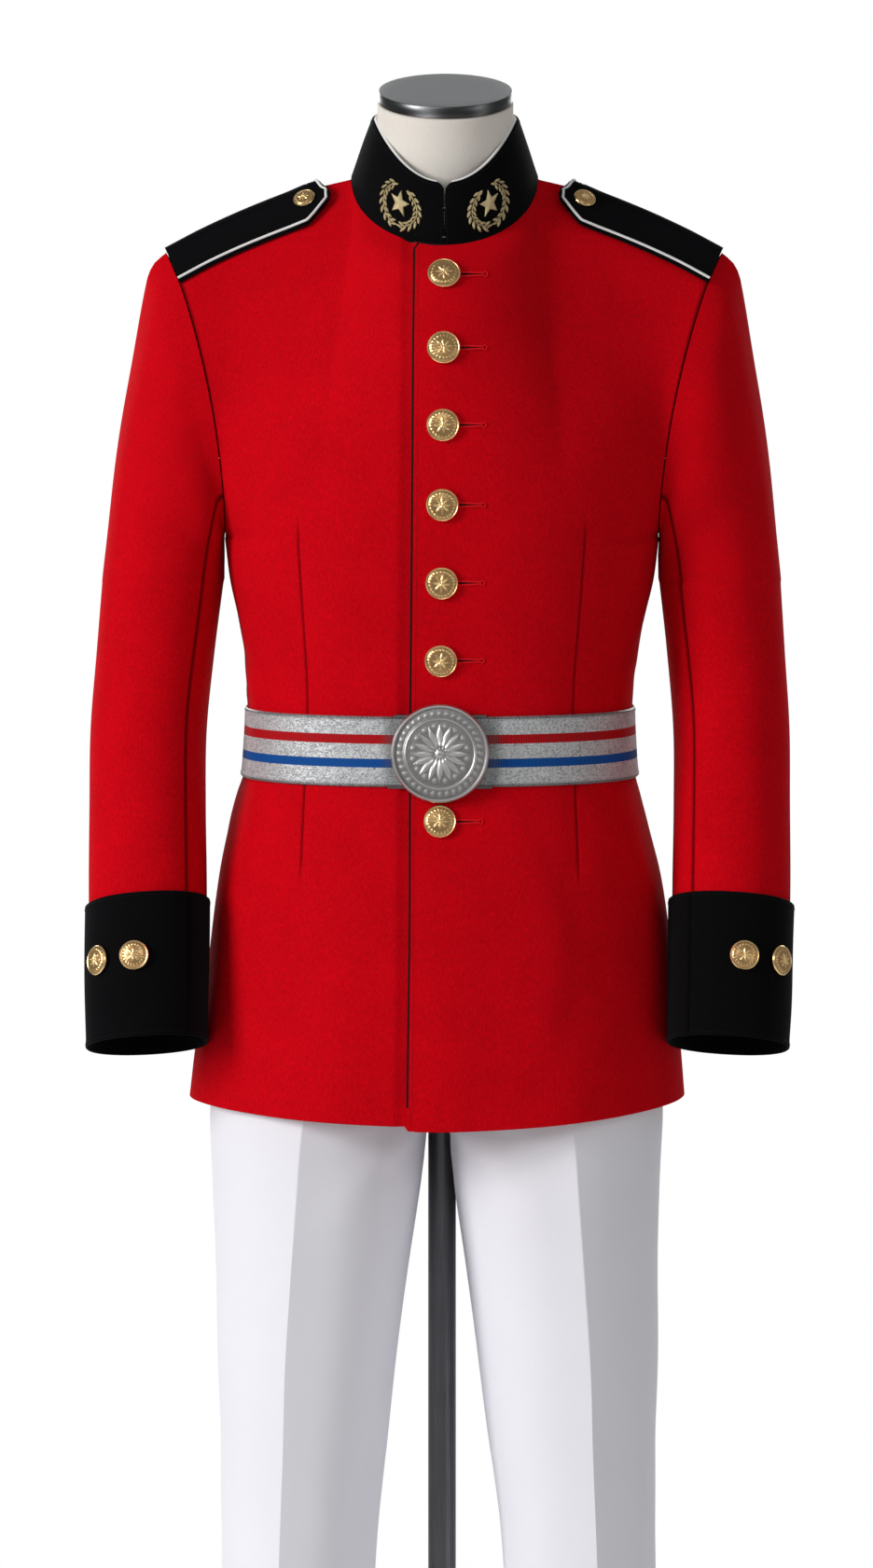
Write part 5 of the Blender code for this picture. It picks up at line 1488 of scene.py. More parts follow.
def tunic_levels():
    return np.concatenate([-np.linspace(1, 0, 108), np.linspace(0, 1, 66)[1:]])
class UNIFORM_OT_tunic(bpy.types.Operator):
    """Draw the four panels of the tunic's body with their darts, and the corded front edge"""

    bl_idname = "uniform.tunic"
    bl_label = "Tunic body"

    def execute(self, context):
        level = tunic_levels()
        rows = level[:, None]
        z_row = UNDERARM_Z + np.minimum(level, 0) * (UNDERARM_Z - 0.797)
        dart_x = smooth(DART, z_row)
        axis = np.array((0, 0, 1.2))
        for side, word in SIDES:
            if side > 0:
                keys = [-lap_angle(-LAP_X, level), np.zeros(len(level))]
            else:
                keys = [-lap_angle(UNDERLAP_X, level), lap_angle(STEP_IN, level),
                        lap_angle(STEP_OUT, level)]
            for off in (-0.0030, -0.0008, 0.0, 0.0008, 0.0030):
                at = [lap_angle(x + off, lv)[0] for x, lv in zip(dart_x, level)]
                keys.append(np.array(at))
            keys.append(np.full(len(level), SIDE_SEAM))
            counts = [8, 30] if side > 0 else [14, 5, 22]
            angle = columns(np.stack(keys, axis=1), counts + [2, 3, 3, 2, 30])
            angle = np.sign(angle) * np.minimum(np.abs(angle), SIDE_SEAM)
            p = tunic_surface("front", side, angle, rows)
            if side > 0:
                inward = p[..., 0] - smooth(LEAN, p[..., 2]) - LAP_X
                corner = np.clip(0.006 - inward, 0, 0.006)
                lift = 0.006 - np.sqrt(0.006 ** 2 - corner ** 2)
                p[..., 2] += lift * ease(-0.95, -1.0, rows)
            height = body_height(p, angle, rows)
            z = p[..., 2]
            off = p[..., 0] * side - smooth(LEAN, z) * side - dart_x[:, None]
            inside = ease(DART_LOW, DART_LOW + 0.03, z) * ease(DART_HIGH, DART_HIGH - 0.03, z)
            inside = inside * (level < 0.25)[:, None]
            height -= (0.0011 * bell(off, 0.0009) + 0.0012 * bell(off, 0.010)) * inside
            # painted shade: the colour darkens along the side seam and along the dart's line
            border = bell((SIDE_SEAM - angle) * BODY_DEGREE, 0.0009)
            cloth_piece("tunic_front_%s" % word, p, WOOL, axis, "red_wool", "hung",
                        rolled=("low", "start"), push=height,
                        seam=0.75 * bell(off, 0.0008) * inside + border)
            angle = np.broadcast_to(quarter(64) * SIDE_SEAM / 90.0, (len(level), 64)).copy()
            angle[:, 0] = 0.05
            p = tunic_surface("back", side, angle, rows)
            height = body_height(p, angle, rows)
            off = np.abs(p[..., 0] - smooth(LEAN, p[..., 2]))
            height -= 0.0007 * bell(off, 0.0022)
            # painted shade: the colour darkens along the centre back seam and the side seam
            border = bell((SIDE_SEAM - angle) * BODY_DEGREE, 0.0009)
            cloth_piece("tunic_back_%s" % word, p, WOOL, axis, "red_wool", "hung",
                        rolled=("low",), push=height,
                        seam=bell(off, 0.0009) + border)
        self.front_edge()
        return {"FINISHED"}

    def front_edge(self):
        """Fine dark cord along the edge of the lap and its top corner, and a row of stitches."""
        outer, n = GRIDS["tunic_front_left"]
        edge = outer[:, 0] - n[:, 0] * 0.0005
        path = edge + unit(outer[:, 0] - outer[:, 3]) * 0.0008
        top = outer[-1, :9] - n[-1, :9] * 0.0006 + np.array((0, 0, 0.0004))
        new_cord("front_edge_cord", np.concatenate([path[4:-2], top[1:]]), 0.00095, 8,
                 "black_piping", "black_wool", "front_piping")
        stitched("front_stitches", [inset_line(outer, n, "start", 0.0030, 0.0001)[2:-2]],
                 "red_wool", "seam_thread")


class UNIFORM_OT_sleeves(bpy.types.Operator):
    """Draw the top and under sleeves, with soft folds at the elbow"""

    bl_idname = "uniform.sleeves"
    bl_label = "Sleeves"

    def execute(self, context):
        head = np.linspace(0, 1, 30) ** 1.3
        head[0] = 0.0001
        drop = -np.linspace(0, SLEEVE_TOP - SLEEVE_END, 72)[1:]
        level = np.concatenate([head, drop])[:, None]
        for side, word in SIDES:
            for kind, first, last, count in (("top", HINDARM_SEAM - 360, FOREARM_SEAM, 74),
                                             ("under", FOREARM_SEAM, HINDARM_SEAM, 34)):
                psi = np.linspace(first + 0.2, last - 0.2, count)[None, :]
                p = sleeve_point(psi, level)
                z = p[..., 2]
                height = creases(ARM_FOLDS, psi, z, ARM_DEGREE)
                height = height + 0.0010 * ripple(p, 0.12, 11 if side > 0 else 12)
                height = height * (1 - ease(0.55, 0.0, level)) * ease(0.950, 0.985, z)
                near = np.minimum(np.abs(psi - first), np.abs(psi - last)) * ARM_DEGREE
                height = height - 0.0006 * bell(near, 0.0012) * (level < 0)
                p[..., 0] *= side
                p = leaning(p)
                axis = points(side * smooth(SLEEVE, z), smooth(SLEEVE, z, 2), z)
                axis = np.where((level > 0)[..., None], (side * 0.225, 0.0, 1.33), axis)
                # painted shade along the seams between top and under sleeve, through the seam
                # values
                cloth_piece("%s_sleeve_%s" % (kind, word), p, WOOL, axis, "red_wool", "hung",
                            push=height, seam=bell(near, 0.0008))
        return {"FINISHED"}


class UNIFORM_OT_cuffs(bpy.types.Operator):
    """Draw the deep black cuffs round the ends of the sleeves"""

    bl_idname = "uniform.cuffs"
    bl_label = "Cuffs"

    def execute(self, context):
        psi = np.linspace(0, 360, 120, endpoint=False)[None, :]
        z = np.linspace(CUFF_TOP, CUFF_MOUTH, 40)[:, None]
        for side, word in SIDES:
            p = arm_ring(psi, z, WOOL + GAP + 0.0006)
            height = 0.0007 * ripple(p, 0.09, 21 if side > 0 else 22)
            height = height + 0.0005 * bell(z - CUFF_MOUTH, 0.004)
            seam = np.abs((psi - FOREARM_SEAM + 180) % 360 - 180) * CUFF_DEGREE
            height = height - 0.0006 * bell(seam, 0.0011)
            p[..., 0] *= side
            p = leaning(p)
            axis = points(side * smooth(SLEEVE, p[..., 2]), smooth(SLEEVE, p[..., 2], 2), p[..., 2])
            # painted shade along the cuff's seam, through the seam values
            grids = cloth_piece("cuff_%s" % word, p, WOOL, axis, "black_wool", "folded",
                                True, ("low", "high"), height,
                                bell(seam, 0.0010))
            outer, n = (np.concatenate([grid, grid[:, :1]], 1) for grid in grids)
            stitched("cuff_stitches_%s" % word,
                     [inset_line(outer, n, edge, 0.0022) for edge in ("low", "high")],
                     "black_wool", "black_thread")
        return {"FINISHED"}


def badge_point(side, a, b, out):
    """Point a metres along the collar and b up it from a badge's centre, out from its face."""
    turn = BADGE_TURN + np.degrees(a / 0.0735)
    rise = BADGE_RISE + b / 0.0500
    p = collar_point(turn, rise)
    along = collar_point(turn + 0.5, rise) - collar_point(turn - 0.5, rise)
    n = unit(np.cross(along, collar_point(turn, rise + 0.02) - collar_point(turn, rise - 0.02)))
    n = np.where((n[..., 1] > 0)[..., None], -n, n)
    p = p + n * out
    p[..., 0] *= side
    n[..., 0] *= side
    return leaning(p), n


def leaf_mesh():
    """Puffed laurel leaf, one unit long along X, ridged along its vein."""
    rows, cols = 9, 7
    verts, uv = [], []
    for face in (1, -1):
        for j in range(rows):
            t = j / (rows - 1)
            half = 0.19 * math.sin(math.pi * min(1.0, t * 0.96 + 0.02)) ** 0.8
            for i in range(cols):
                s = 2 * i / (cols - 1) - 1
                puff = 0.17 * (1 - s * s) ** 0.6 * math.sin(math.pi * t) ** 0.5
                vein = -0.05 * bell(s, 0.16)
                verts.append((t - 0.5, half * s, (puff + vein) if face > 0 else -0.02))
                uv.append((s * 0.002, (t + abs(s) * 0.25) * 0.008))
    faces = []
    size = rows * cols
    for j in range(rows - 1):
        for i in range(cols - 1):
            a, d = j * cols + i, (j + 1) * cols + i
            b, c = a + 1, d + 1
            faces.append((a, b, c, d))
            faces.append((size + d, size + c, size + b, size + a))
    border = [(0, i) for i in range(cols)] + [(j, cols - 1) for j in range(1, rows)]
    border += [(rows - 1, i) for i in range(cols - 2, -1, -1)]
    border += [(j, 0) for j in range(rows - 2, 0, -1)]
    ids = [j * cols + i for j, i in border]
    for a, b in zip(ids, ids[1:] + ids[:1]):
        faces.append((a, b, size + b, size + a))
    mesh = make_mesh("laurel_leaf", verts, faces, uv, 70.0)
    bm = opened(mesh)
    bmesh.ops.remove_doubles(bm, verts=bm.verts, dist=0.0005)
    bm.to_mesh(mesh)
    bm.free()
    return mesh


class UNIFORM_OT_collar(bpy.types.Operator):
    """Draw the stand collar, its white edge, its hooks and the embroidered badges"""

    bl_idname = "uniform.collar"
    bl_label = "Collar"

    def execute(self, context):
        near = COLLAR_END + 9 * np.linspace(0, 1, 22) ** 1.4
        near = np.concatenate([near, np.linspace(12, 180, 76)])
        turn = np.concatenate([near, (360 - near[:-1])[::-1]])[None, :]
        rise = np.linspace(0, 1, 24)[:, None]
        run = np.radians(np.minimum(turn, 360 - turn) - COLLAR_END) * 0.074
        drop = COLLAR_CORNER - np.sqrt(COLLAR_CORNER ** 2
                                       - np.clip(COLLAR_CORNER - run, 0, COLLAR_CORNER) ** 2)
        p = collar_point(turn, rise * (1 - drop / 0.050))
        height = 0.0004 * ripple(p, 0.06, 31) * np.sin(np.pi * rise)
        p = leaning(p)
        outer, n = cloth_piece("collar", p, COLLAR_CLOTH, points(0.0, 0.0, p[..., 2] + 0.02),
                               "black_wool", "folded",
                               rolled=("high", "start", "end"), push=height)
        self.white_edge(outer, n)
        stitched("collar_stitches",
                 [inset_line(outer, n, edge, 0.0024) for edge in ("high", "start", "end")],
                 "black_wool", "black_thread")
        for side, word in SIDES:
            self.wreath(side, word)
            self.star(side, word)
        self.hooks(outer, n)
        return {"FINISHED"}

    def white_edge(self, outer, n):
        """Folded white edge inside the collar's top, and a roll along the collar's foot."""
        up = unit(outer[-1] - outer[-3])
        path = outer[-1] - n[-1] * (COLLAR_CLOTH + 0.0008) + up * 0.0011
        path = path[13:-13]
        size = 0.0015 * np.minimum(1, 0.35 + np.arange(len(path)) / 3)
        new_cord("collar_white_edge", path, np.minimum(size, size[::-1]), 10, "white_piping",
                 "white_piping")
        new_cord("collar_foot", outer[0] - n[0] * 0.0014 - (0, 0, 0.0004), 0.0014, 8,
                 "black_wool", "black_wool")

    def wreath(self, side, word):
        """Two sprays of laurel with their stems."""
        spots, turns, sizes = [], [], []

        def leaf(t, radius, tilt, size):
            a, sign = math.radians(t), 1 if t > 0 else -1
            x, y = WREATH_X * radius * math.sin(a), -WREATH_Y * radius * math.cos(a) - WREATH_DROP
            p, n = badge_point(side, x, y, 0.0007)
            ahead = 0.0004 * sign
            dx, dy = ahead * math.cos(a) * 0.87, ahead * math.sin(a)
            turned = math.radians(tilt) * sign
            wx = dx * math.cos(turned) - dy * math.sin(turned)
            wy = dx * math.sin(turned) + dy * math.cos(turned)
            q, _ = badge_point(side, x + wx, y + wy, 0.0007)
            way, up = Vector(q - p).normalized(), Vector(n).normalized()
            y_axis = up.cross(way).normalized()
            spots.append(p)
            turns.append(euler_of(Matrix((y_axis.cross(up), y_axis, up)).transposed()))
            sizes.append((size, size, size * 1.1))

        for t in range(15, 150, 18):
            for sign in (-1, 1):
                grow = 1.0 - 0.15 * (t / 150)
                leaf(sign * (t + 4), 1.00, 28, 0.0073 * grow)
                leaf(sign * t, 0.75, -28, 0.0061 * grow)
        for sign in (-1, 1):
            leaf(sign * 153, 0.87, 4, 0.0070)
        repeated("wreath_%s_leaves" % word, leaf_mesh(), spots, turns, sizes, "gold_thread",
                 "gold_thread", "wreath_%s" % word)
        for sign, end in ((-1, "a"), (1, "b")):
            path = []
            for t in np.linspace(-16, 150, 40):
                a = math.radians(t * sign)
                r = 0.86 + (0.10 if t < 0 else 0.0) * (-t / 16)
                path.append(badge_point(side, WREATH_X * r * math.sin(a),
                                        -WREATH_Y * r * math.cos(a) - WREATH_DROP, 0.0007)[0])
            new_cord("wreath_stem_%s_%s" % (word, end), path, 0.00048, 8, "gold_thread",
                     "gold_thread")

    def star(self, side, word):
        """Plain five-pointed star inside a wreath."""
        rim, verts = [], []
        for i in range(10):
            a = math.radians(36 * i)
            r = 0.0098 if i % 2 == 0 else 0.0043
            rim.append((r * math.sin(a), r * math.cos(a) - 0.0003))
        for out, part in ((0.0004, 1.0), (0.0012, 1.0), (0.0019, 0.90), (0.0026, 0.45)):
            verts += [badge_point(side, x * part, y * part, out)[0] for x, y in rim]
        verts += [badge_point(side, 0.0, 0.0, out)[0] for out in (0.0030, 0.0004)]
        faces = band_faces(4, 10)
        for i in range(10):
            j = (i + 1) % 10
            faces += [(30 + i, 30 + j, 40), (j, i, 41)]
        name = "star_%s_thread" % word
        mesh = make_mesh(name, verts, faces, [(v[0], v[2]) for v in verts], 25.0)
        new_object(name, mesh, "gold_thread", "gold_thread", "star_%s" % word)

    def hooks(self, outer, n):
        """Two small wire hooks that hold the front ends of the collar together."""
        a = np.linspace(-1, 1, 9)[:, None]
        for k, row in enumerate((3, 16)):
            left, right = outer[row, 0], outer[row, -1]
            deep = -unit(n[row, 0] + n[row, -1]) * 0.0005
            middle = (left + right) / 2 + deep
            path = middle + unit(left - right) * a * 0.0012 - deep * 0.6 * (1 - a * a)
            new_cord("collar_hook_%d" % (k + 1), path, 0.0006, 8, "silvered", "silvered")


def shoulder_path(angle):
    """Fine points over the shoulder at one angle, with the run from the seam, front first."""
    ahead = high_point("front", angle, 1 - 0.28 * np.arange(16, -1, -1) / 16)
    behind = high_point("back", angle, 1 - 0.18 * np.arange(1, 11) / 10)
    path = np.concatenate([ahead, behind])
    run = run_along(path)
    return np.column_stack([run - run[16], path])


def strap_point(side, run, v, out):
    """Point over the shoulder: run 0 tip to 1 outer end, v metres behind the seam."""
    angle = 38.5 + (89.9 - 38.5) * run
    path, beside = shoulder_path(angle), shoulder_path(angle - 1.0)

    def on(rows, at):
        return np.array([float(smooth(rows, at, c)) for c in (1, 2, 3)])

    p = on(path, v)
    n = unit(np.cross(p - on(beside, v), on(path, v + 0.002) - on(path, v - 0.002)))
    if n[2] < 0:
        n = -n
    p = p + n * out
    return p * (side, 1, 1), n * (side, 1, 1)


def strap_lift(run):
    return 0.0008 + 0.0019 * (1 - ease(0.05, 0.30, run))


STRAP_MIDDLE = -0.0160
STRAP_FRONT, STRAP_BACK = -0.0420, 0.0100


def strap_line(run, share):
    """Distance behind the seam at a share of the strap's width; its tip is pointed."""
    grow = min(1.0, 0.22 + 0.78 * min(1.0, run / 0.15) ** 0.85)
    line = STRAP_FRONT + (STRAP_BACK - STRAP_FRONT) * share
    return STRAP_MIDDLE + (line - STRAP_MIDDLE) * grow


class UNIFORM_OT_straps(bpy.types.Operator):
    """Draw the shoulder straps with their white cord"""

    bl_idname = "uniform.straps"
    bl_label = "Shoulder straps"

    def execute(self, context):
        runs = np.concatenate([np.linspace(0, 0.14, 16), np.linspace(0.14, 1.0, 52)[1:]])
        shares = np.linspace(0, 1, 27)
        for side, word in SIDES:
            p, n = np.zeros((len(runs), len(shares), 3)), np.zeros((len(runs), len(shares), 3))
            for j, run in enumerate(runs):
                for i, share in enumerate(shares):
                    crown = 0.0007 * math.sin(math.pi * share)
                    p[j, i], n[j, i] = strap_point(side, run, strap_line(run, share),
                                                   strap_lift(run) + STRAP_BOARD + crown)
            p = leaning(p)
            outer, away = cloth_piece("shoulder_strap_%s" % word, p, STRAP_BOARD, p - n * 0.05,
                                      "black_wool", rolled=("low", "start", "end"))
            stitched("strap_stitches_%s" % word,
                     [inset_line(outer, away, edge, 0.0042) for edge in ("start", "end")],
                     "black_wool", "black_thread")
            self.cord(side, word, runs)
        return {"FINISHED"}

    def cord(self, side, word, runs):
        """White cord in the seam round the strap's edge."""
        edge = [(run, 0.0) for run in runs[::-1]]
        edge += [(0.0, share) for share in np.linspace(0, 1, 9)[1:-1]]
        edge += [(run, 1.0) for run in runs]
        path = []
        for run, share in edge:
            height = strap_lift(run) + STRAP_BOARD + 0.0001
            p, n = strap_point(side, run, strap_line(run, share), height)
            middle, _ = strap_point(side, max(run, 0.10), STRAP_MIDDLE, height)
            away = p - middle
            away -= n * np.dot(away, n)
            path.append(p - unit(away) * 0.0026)
        new_cord("strap_cord_%s" % word, leaning(np.array(path)), 0.00125, 8, "white_piping",
                 "white_piping", "strap_piping_%s" % word)


def button_relief(radius):
    """Stamped dome: an eight-pointed star over a ring of short bars, inside a rope rim."""

    def lift(r, a):
        s = r / radius
        point = np.abs(np.mod(a * 8 / (2 * math.pi), 1.0) - 0.5) * 2
        star = np.clip((0.18 + 0.36 * point - s) / 0.10, 0, 1) * (0.6 + 0.4 * point)
        bars = (0.5 + 0.5 * np.cos(a * 22)) ** 2 * bell(s - 0.72, 0.075)
        rope = (0.5 + 0.5 * np.cos(a * 44)) * bell(s - 0.905, 0.035)
        boss = 0.55 * bell(s, 0.13)
        return radius * (0.050 * star + 0.040 * bars + 0.022 * rope + 0.06 * boss)

    return lift


def scaled_profile(s, z, radius, foot):
    """Profile from the middle of a piece out and down to its foot, in shares of its radius."""
    pairs = [(0.0, z[0]), *zip(s, z), *foot, (0.0, 0.0)]
    return [(a * radius, b * radius) for a, b in pairs]


def button_mesh(name, radius, matrix):
    """Domed button, its dome stamped and its rim rolled."""
    s = np.concatenate([np.linspace(0.015, 0.84, 34), (0.86, 0.885, 0.905, 0.925, 0.945, 0.965,
                                                       0.985, 1.0)])
    dome = 0.335 * np.sqrt(np.maximum(0, 1 - (s / 1.02) ** 2)) + 0.085
    rim = 0.205 * bell(s - 0.945, 0.040)
    z = np.where(s < 0.84, dome, np.maximum(0.245 * (1 - (s - 0.84) * 1.4), 0)) + rim * 0.30
    profile = scaled_profile(s, z, radius, [(1.0, 0.10), (0.96, 0.02)])

    # painted shade and highlight: hollows darker, the stamped heights and the rolled rim lighter
    def painted_shading(verts, ups):
        high = ups / (0.055 * radius)
        edge = np.linalg.norm(verts[:, :2], axis=1) / radius
        return np.clip(0.28 + high * 0.75 + 0.6 * (edge > 0.92), 0, 1)

    return lathe(name, profile, 88, matrix, button_relief(radius), painted_shading, 50.0)


class UNIFORM_OT_buttons(bpy.types.Operator):
    """Draw the gilt buttons, and the worked buttonholes of the front"""

    bl_idname = "uniform.buttons"
    bl_label = "Buttons"

    def execute(self, context):
        radius = context.scene.uniform_settings.button
        for k, z in enumerate(BUTTON_Z):
            p, away = self.on_front(0.0, z)
            self.button("front_button_%d" % (k + 1), radius, p + away * 0.0002, away,
                        0.12 * math.sin(7.3 * k))
        for side, word in SIDES:
            for i, psi in enumerate((82.0, 42.5)):
                p, away = self.on_cuff(word, psi)
                self.button("cuff_button_%s_%d" % (word, i + 1), CUFF_BUTTON_R,
                            p + away * 0.0003, away, 0.1 * i)
            height = float(strap_lift(0.16)) + STRAP_BOARD + 0.0009
            p, away = strap_point(side, 0.16, STRAP_MIDDLE, height)
            self.button("strap_button_%s" % word, STRAP_BUTTON_R, leaning(p), away, 0.2)
        self.buttonholes()
        return {"FINISHED"}

    def button(self, node, radius, at, away, spin):
        """Gilt button on the cloth, drawn for the solid called node."""
        name = node + "_gilt"
        new_object(name, button_mesh(name, radius, facing(at, away, spin)), "gilt", "gilt", node)

    def on_front(self, x, z):
        """Point and normal on the drawn left front at x from the centre and z."""
        outer, n = GRIDS["tunic_front_left"]
        at = leaning(points(x, 0.0, z))
        gap = (outer[..., 0] - at[0]) ** 2 + (outer[..., 2] - z) ** 2
        near = np.argsort(gap.ravel())[:6]
        w = 1 / (gap.ravel()[near] + 1e-8)
        p = (outer.reshape(-1, 3)[near] * w[:, None]).sum(0) / w.sum()
        away = unit((n.reshape(-1, 3)[near] * w[:, None]).sum(0))
        shift = np.array((at[0] - p[0], 0.0, z - p[2]))
        shift[1] = -(shift[0] * away[0] + shift[2] * away[2]) / away[1]
        return p + shift, away

    def on_cuff(self, word, psi):
        """Point and normal on a drawn cuff at an angle round it, near its middle."""
        outer, n = GRIDS["cuff_%s" % word]
        column = int(round(psi / 3.0)) % outer.shape[1]
        row = int(np.argmin(np.abs(outer[:, column, 2] - arm_ring(psi, 0.9165, 0.0026)[2])))
        return outer[row, column], n[row, column]

    def half_open(self, x):
        """Half width of a buttonhole's slit, widest beside the button."""
        return 0.00022 + 0.00085 * max(0.0, 1 - (x - HOLE_START) / 0.020)

    def buttonholes(self):
        """A dark box in the slit, painted as its shadow, with a row of close red stitches on each
        side and a bar at its end.
        """
        purls, verts, faces = [], [], []
        for z in BUTTON_Z:
            for s in (-1, 1):
                for x in np.arange(0.0130, 0.0322, 0.00062):
                    p, away = self.on_front(x, z + s * (self.half_open(x) + 0.0006))
                    purls.append(self.purl(p + away * 0.0006, away, 0.0019, 0.00062))
            for a in np.radians(np.arange(-150, 151, 20)):
                p, away = self.on_front(0.0332 + 0.0016 * math.cos(a), z + 0.0019 * math.sin(a))
                purls.append(self.purl(p + away * 0.0005, away, 0.0009, 0.0009))
            run = np.linspace(HOLE_START, HOLE_END, 12)
            upper, lower = ([self.on_front(x, z + s * self.half_open(x)) for x in run]
                            for s in (1, -1))
            away = np.array([a for _, a in upper])
            upper, lower = (np.array([p + a * 0.00012 for p, a in line])
                            for line in (upper, lower))
            first, count = len(verts), len(run)
            for line in (upper, lower, upper - away * 0.0006, lower - away * 0.0006):
                verts += [tuple(v) for v in line]
            for i in range(count - 1):
                u, l, d, e = (first + i + k * count for k in range(4))
                faces += [(u, u + 1, l + 1, l), (d, e, e + 1, d + 1), (u, d, d + 1, u + 1),
                          (l, l + 1, e + 1, e)]
            for i in (0, count - 1):
                u, l, d, e = (first + i + k * count for k in range(4))
                faces.append((u, l, e, d))
        bead = bpy.data.meshes.new("thread_purl")
        bm = bmesh.new()
        bmesh.ops.create_uvsphere(bm, u_segments=8, v_segments=6, radius=0.5)
        bm.to_mesh(bead)
        bm.free()
        bead.shade_smooth()
        repeated("buttonhole_threads", bead, *zip(*purls), "red_wool", "red_thread")
        # painted shadow: a near-black box sits in each slit where only shade would be
        mesh = make_mesh("buttonhole_slits", verts, faces, None, 60.0)
        new_object("buttonhole_slits", mesh, "slit", "red_wool")

    def purl(self, p, away, length, width):
        """Place, turn and size of one stitch of a buttonhole."""
        n = Vector(away).normalized()
        x = Vector((0, 0, 1)).cross(n).normalized()
        return p, euler_of(Matrix((x, n.cross(x), n)).transposed()), (width, length, 0.0012)


class UNIFORM_OT_belt(bpy.types.Operator):
    """Draw the belt's webbing and its round stamped buckle"""

    bl_idname = "uniform.belt"
    bl_label = "Belt"

    def execute(self, context):
        z = np.linspace(BELT_LOW, BELT_HIGH, 15)[:, None]
        p = body_ring(61, z, *(smooth(TORSO, z, c) + BELT_OFF + WEBBING for c in (1, 2, 3)))
        height = 0.0004 * ripple(p, 0.10, 41)
        p = leaning(p)
        axis = np.array((0, 0, BELT_MID))
        n = away_from(p, grid_normals(p, True), axis)
        outer = p + n * height[..., None]
        ring = np.concatenate([outer, outer[:, :1]], axis=1)
        n = away_from(ring, grid_normals(ring), axis)
        n[:, 0] = n[:, -1] = unit(n[:, 0] + n[:, -1])
        v = np.repeat(z - BELT_LOW, ring.shape[1], axis=1)
        uv = np.stack([run_along(ring, 1), v], axis=-1)
        thick = WEBBING * (1 + 0.30 * (np.abs(z - BELT_MID) > 0.0260))
        mesh = shell("belt_webbing", ring, ring - (n * thick[..., None]), uv, False,
                     ("low", "high"))
        obj = new_object("belt_webbing", mesh, "webbing", "webbing", "belt")
        declare_sheet(outer, True)
        stitched("belt_edge_stitches",
                 [inset_line(ring, n, edge, 0.0016, 0.0002) for edge in ("low", "high")],
                 "webbing", "white_thread", 1.2)
        self.loops()
        self.buckle(context.scene.uniform_settings.rays)
        return {"FINISHED"}

    def loops(self):
        """Ends of the flat metal loops that hold the webbing, seen past the plate's edge."""
        half, front = smooth(TORSO, BELT_MID), smooth(TORSO, BELT_MID, 2)
        places = [(side, z, reach) for z, reach in ((BELT_LOW - 0.0014, 0.0420),
                                                    (BELT_HIGH + 0.0012, 0.0370))
                  for side in (-1, 1)]
        for k, (side, z, reach) in enumerate(places):
            x = side * np.linspace(0.0240, reach, 9)
            out = BELT_OFF + WEBBING / 2
            y = -(front + out) * (1 - (np.abs(x) / half) ** ROUNDNESS) ** (1 / ROUNDNESS)
            new_cord("loop_end_%d" % (k + 1), leaning(points(x, y, z)), 0.0013, 10, "silvered",
                     "silvered")

    def buckle(self, rays):
        """Domed plate: a rosette, a band of leaves between two rings, and a raised rim."""

        def lift(r, a):
            s = r / BUCKLE_R
            wave = np.abs(np.mod(a * rays / (2 * math.pi), 1.0) - 0.5) * 2
            petal = np.clip((0.36 + 0.24 * wave - s) / 0.06, 0, 1)
            petal = petal * np.clip((s - 0.12) / 0.06, 0, 1)
            ray = petal * (0.35 + 0.65 * wave)
            dots = (1 - wave) ** 2 * bell(s - 0.560, 0.040)
            boss = 0.9 * bell(s, 0.085, 4)
            bead = (0.5 + 0.5 * np.cos(a * 12)) ** 3 * bell(s - 0.135, 0.030)
            leaf = (0.5 + 0.5 * np.cos(a * 36 + 12.0 * (s - 0.82))) ** 1.5
            leaf = leaf * bell(s - 0.820, 0.045)
            return BUCKLE_R * (0.032 * ray + 0.045 * boss + 0.020 * bead + 0.018 * leaf
                               + 0.022 * dots)

        s = np.concatenate([np.linspace(0.010, 0.60, 44), np.linspace(0.61, 0.90, 36),
                            np.linspace(0.91, 1.0, 16)])
        z = 0.105 + 0.060 * np.sqrt(np.maximum(0, 1 - (s / 0.92) ** 2))
        z += 0.018 * bell(s - 0.710, 0.014) + 0.010 * bell(s - 0.745, 0.009)
        z += 0.060 * bell(np.maximum(np.abs(s - 0.955) - 0.018, 0), 0.014)
        profile = scaled_profile(s, z, BUCKLE_R, [(1.004, 0.07), (0.99, 0.0)])

        # painted shade and highlight: hollows darker, the heights, the inner ring and the rim
        # lighter
        def painted_shading(verts, ups):
            r = np.linalg.norm(verts[:, :2], axis=1) / BUCKLE_R
            ring = bell(r - 0.710, 0.016) + (r > 0.925)
            return np.clip(0.30 + ups / (0.028 * BUCKLE_R) * 0.65 + ring * 0.7, 0, 1)

        at = leaning(points(*BUCKLE_AT))
        matrix = Matrix.Translation(Vector(at)) @ Matrix.Rotation(math.radians(87.5), 4, "X")
        mesh = lathe("buckle_plate", profile, 224, matrix, lift, painted_shading, 50.0)
        new_object("buckle_plate", mesh, "silvered", "silvered", "buckle")


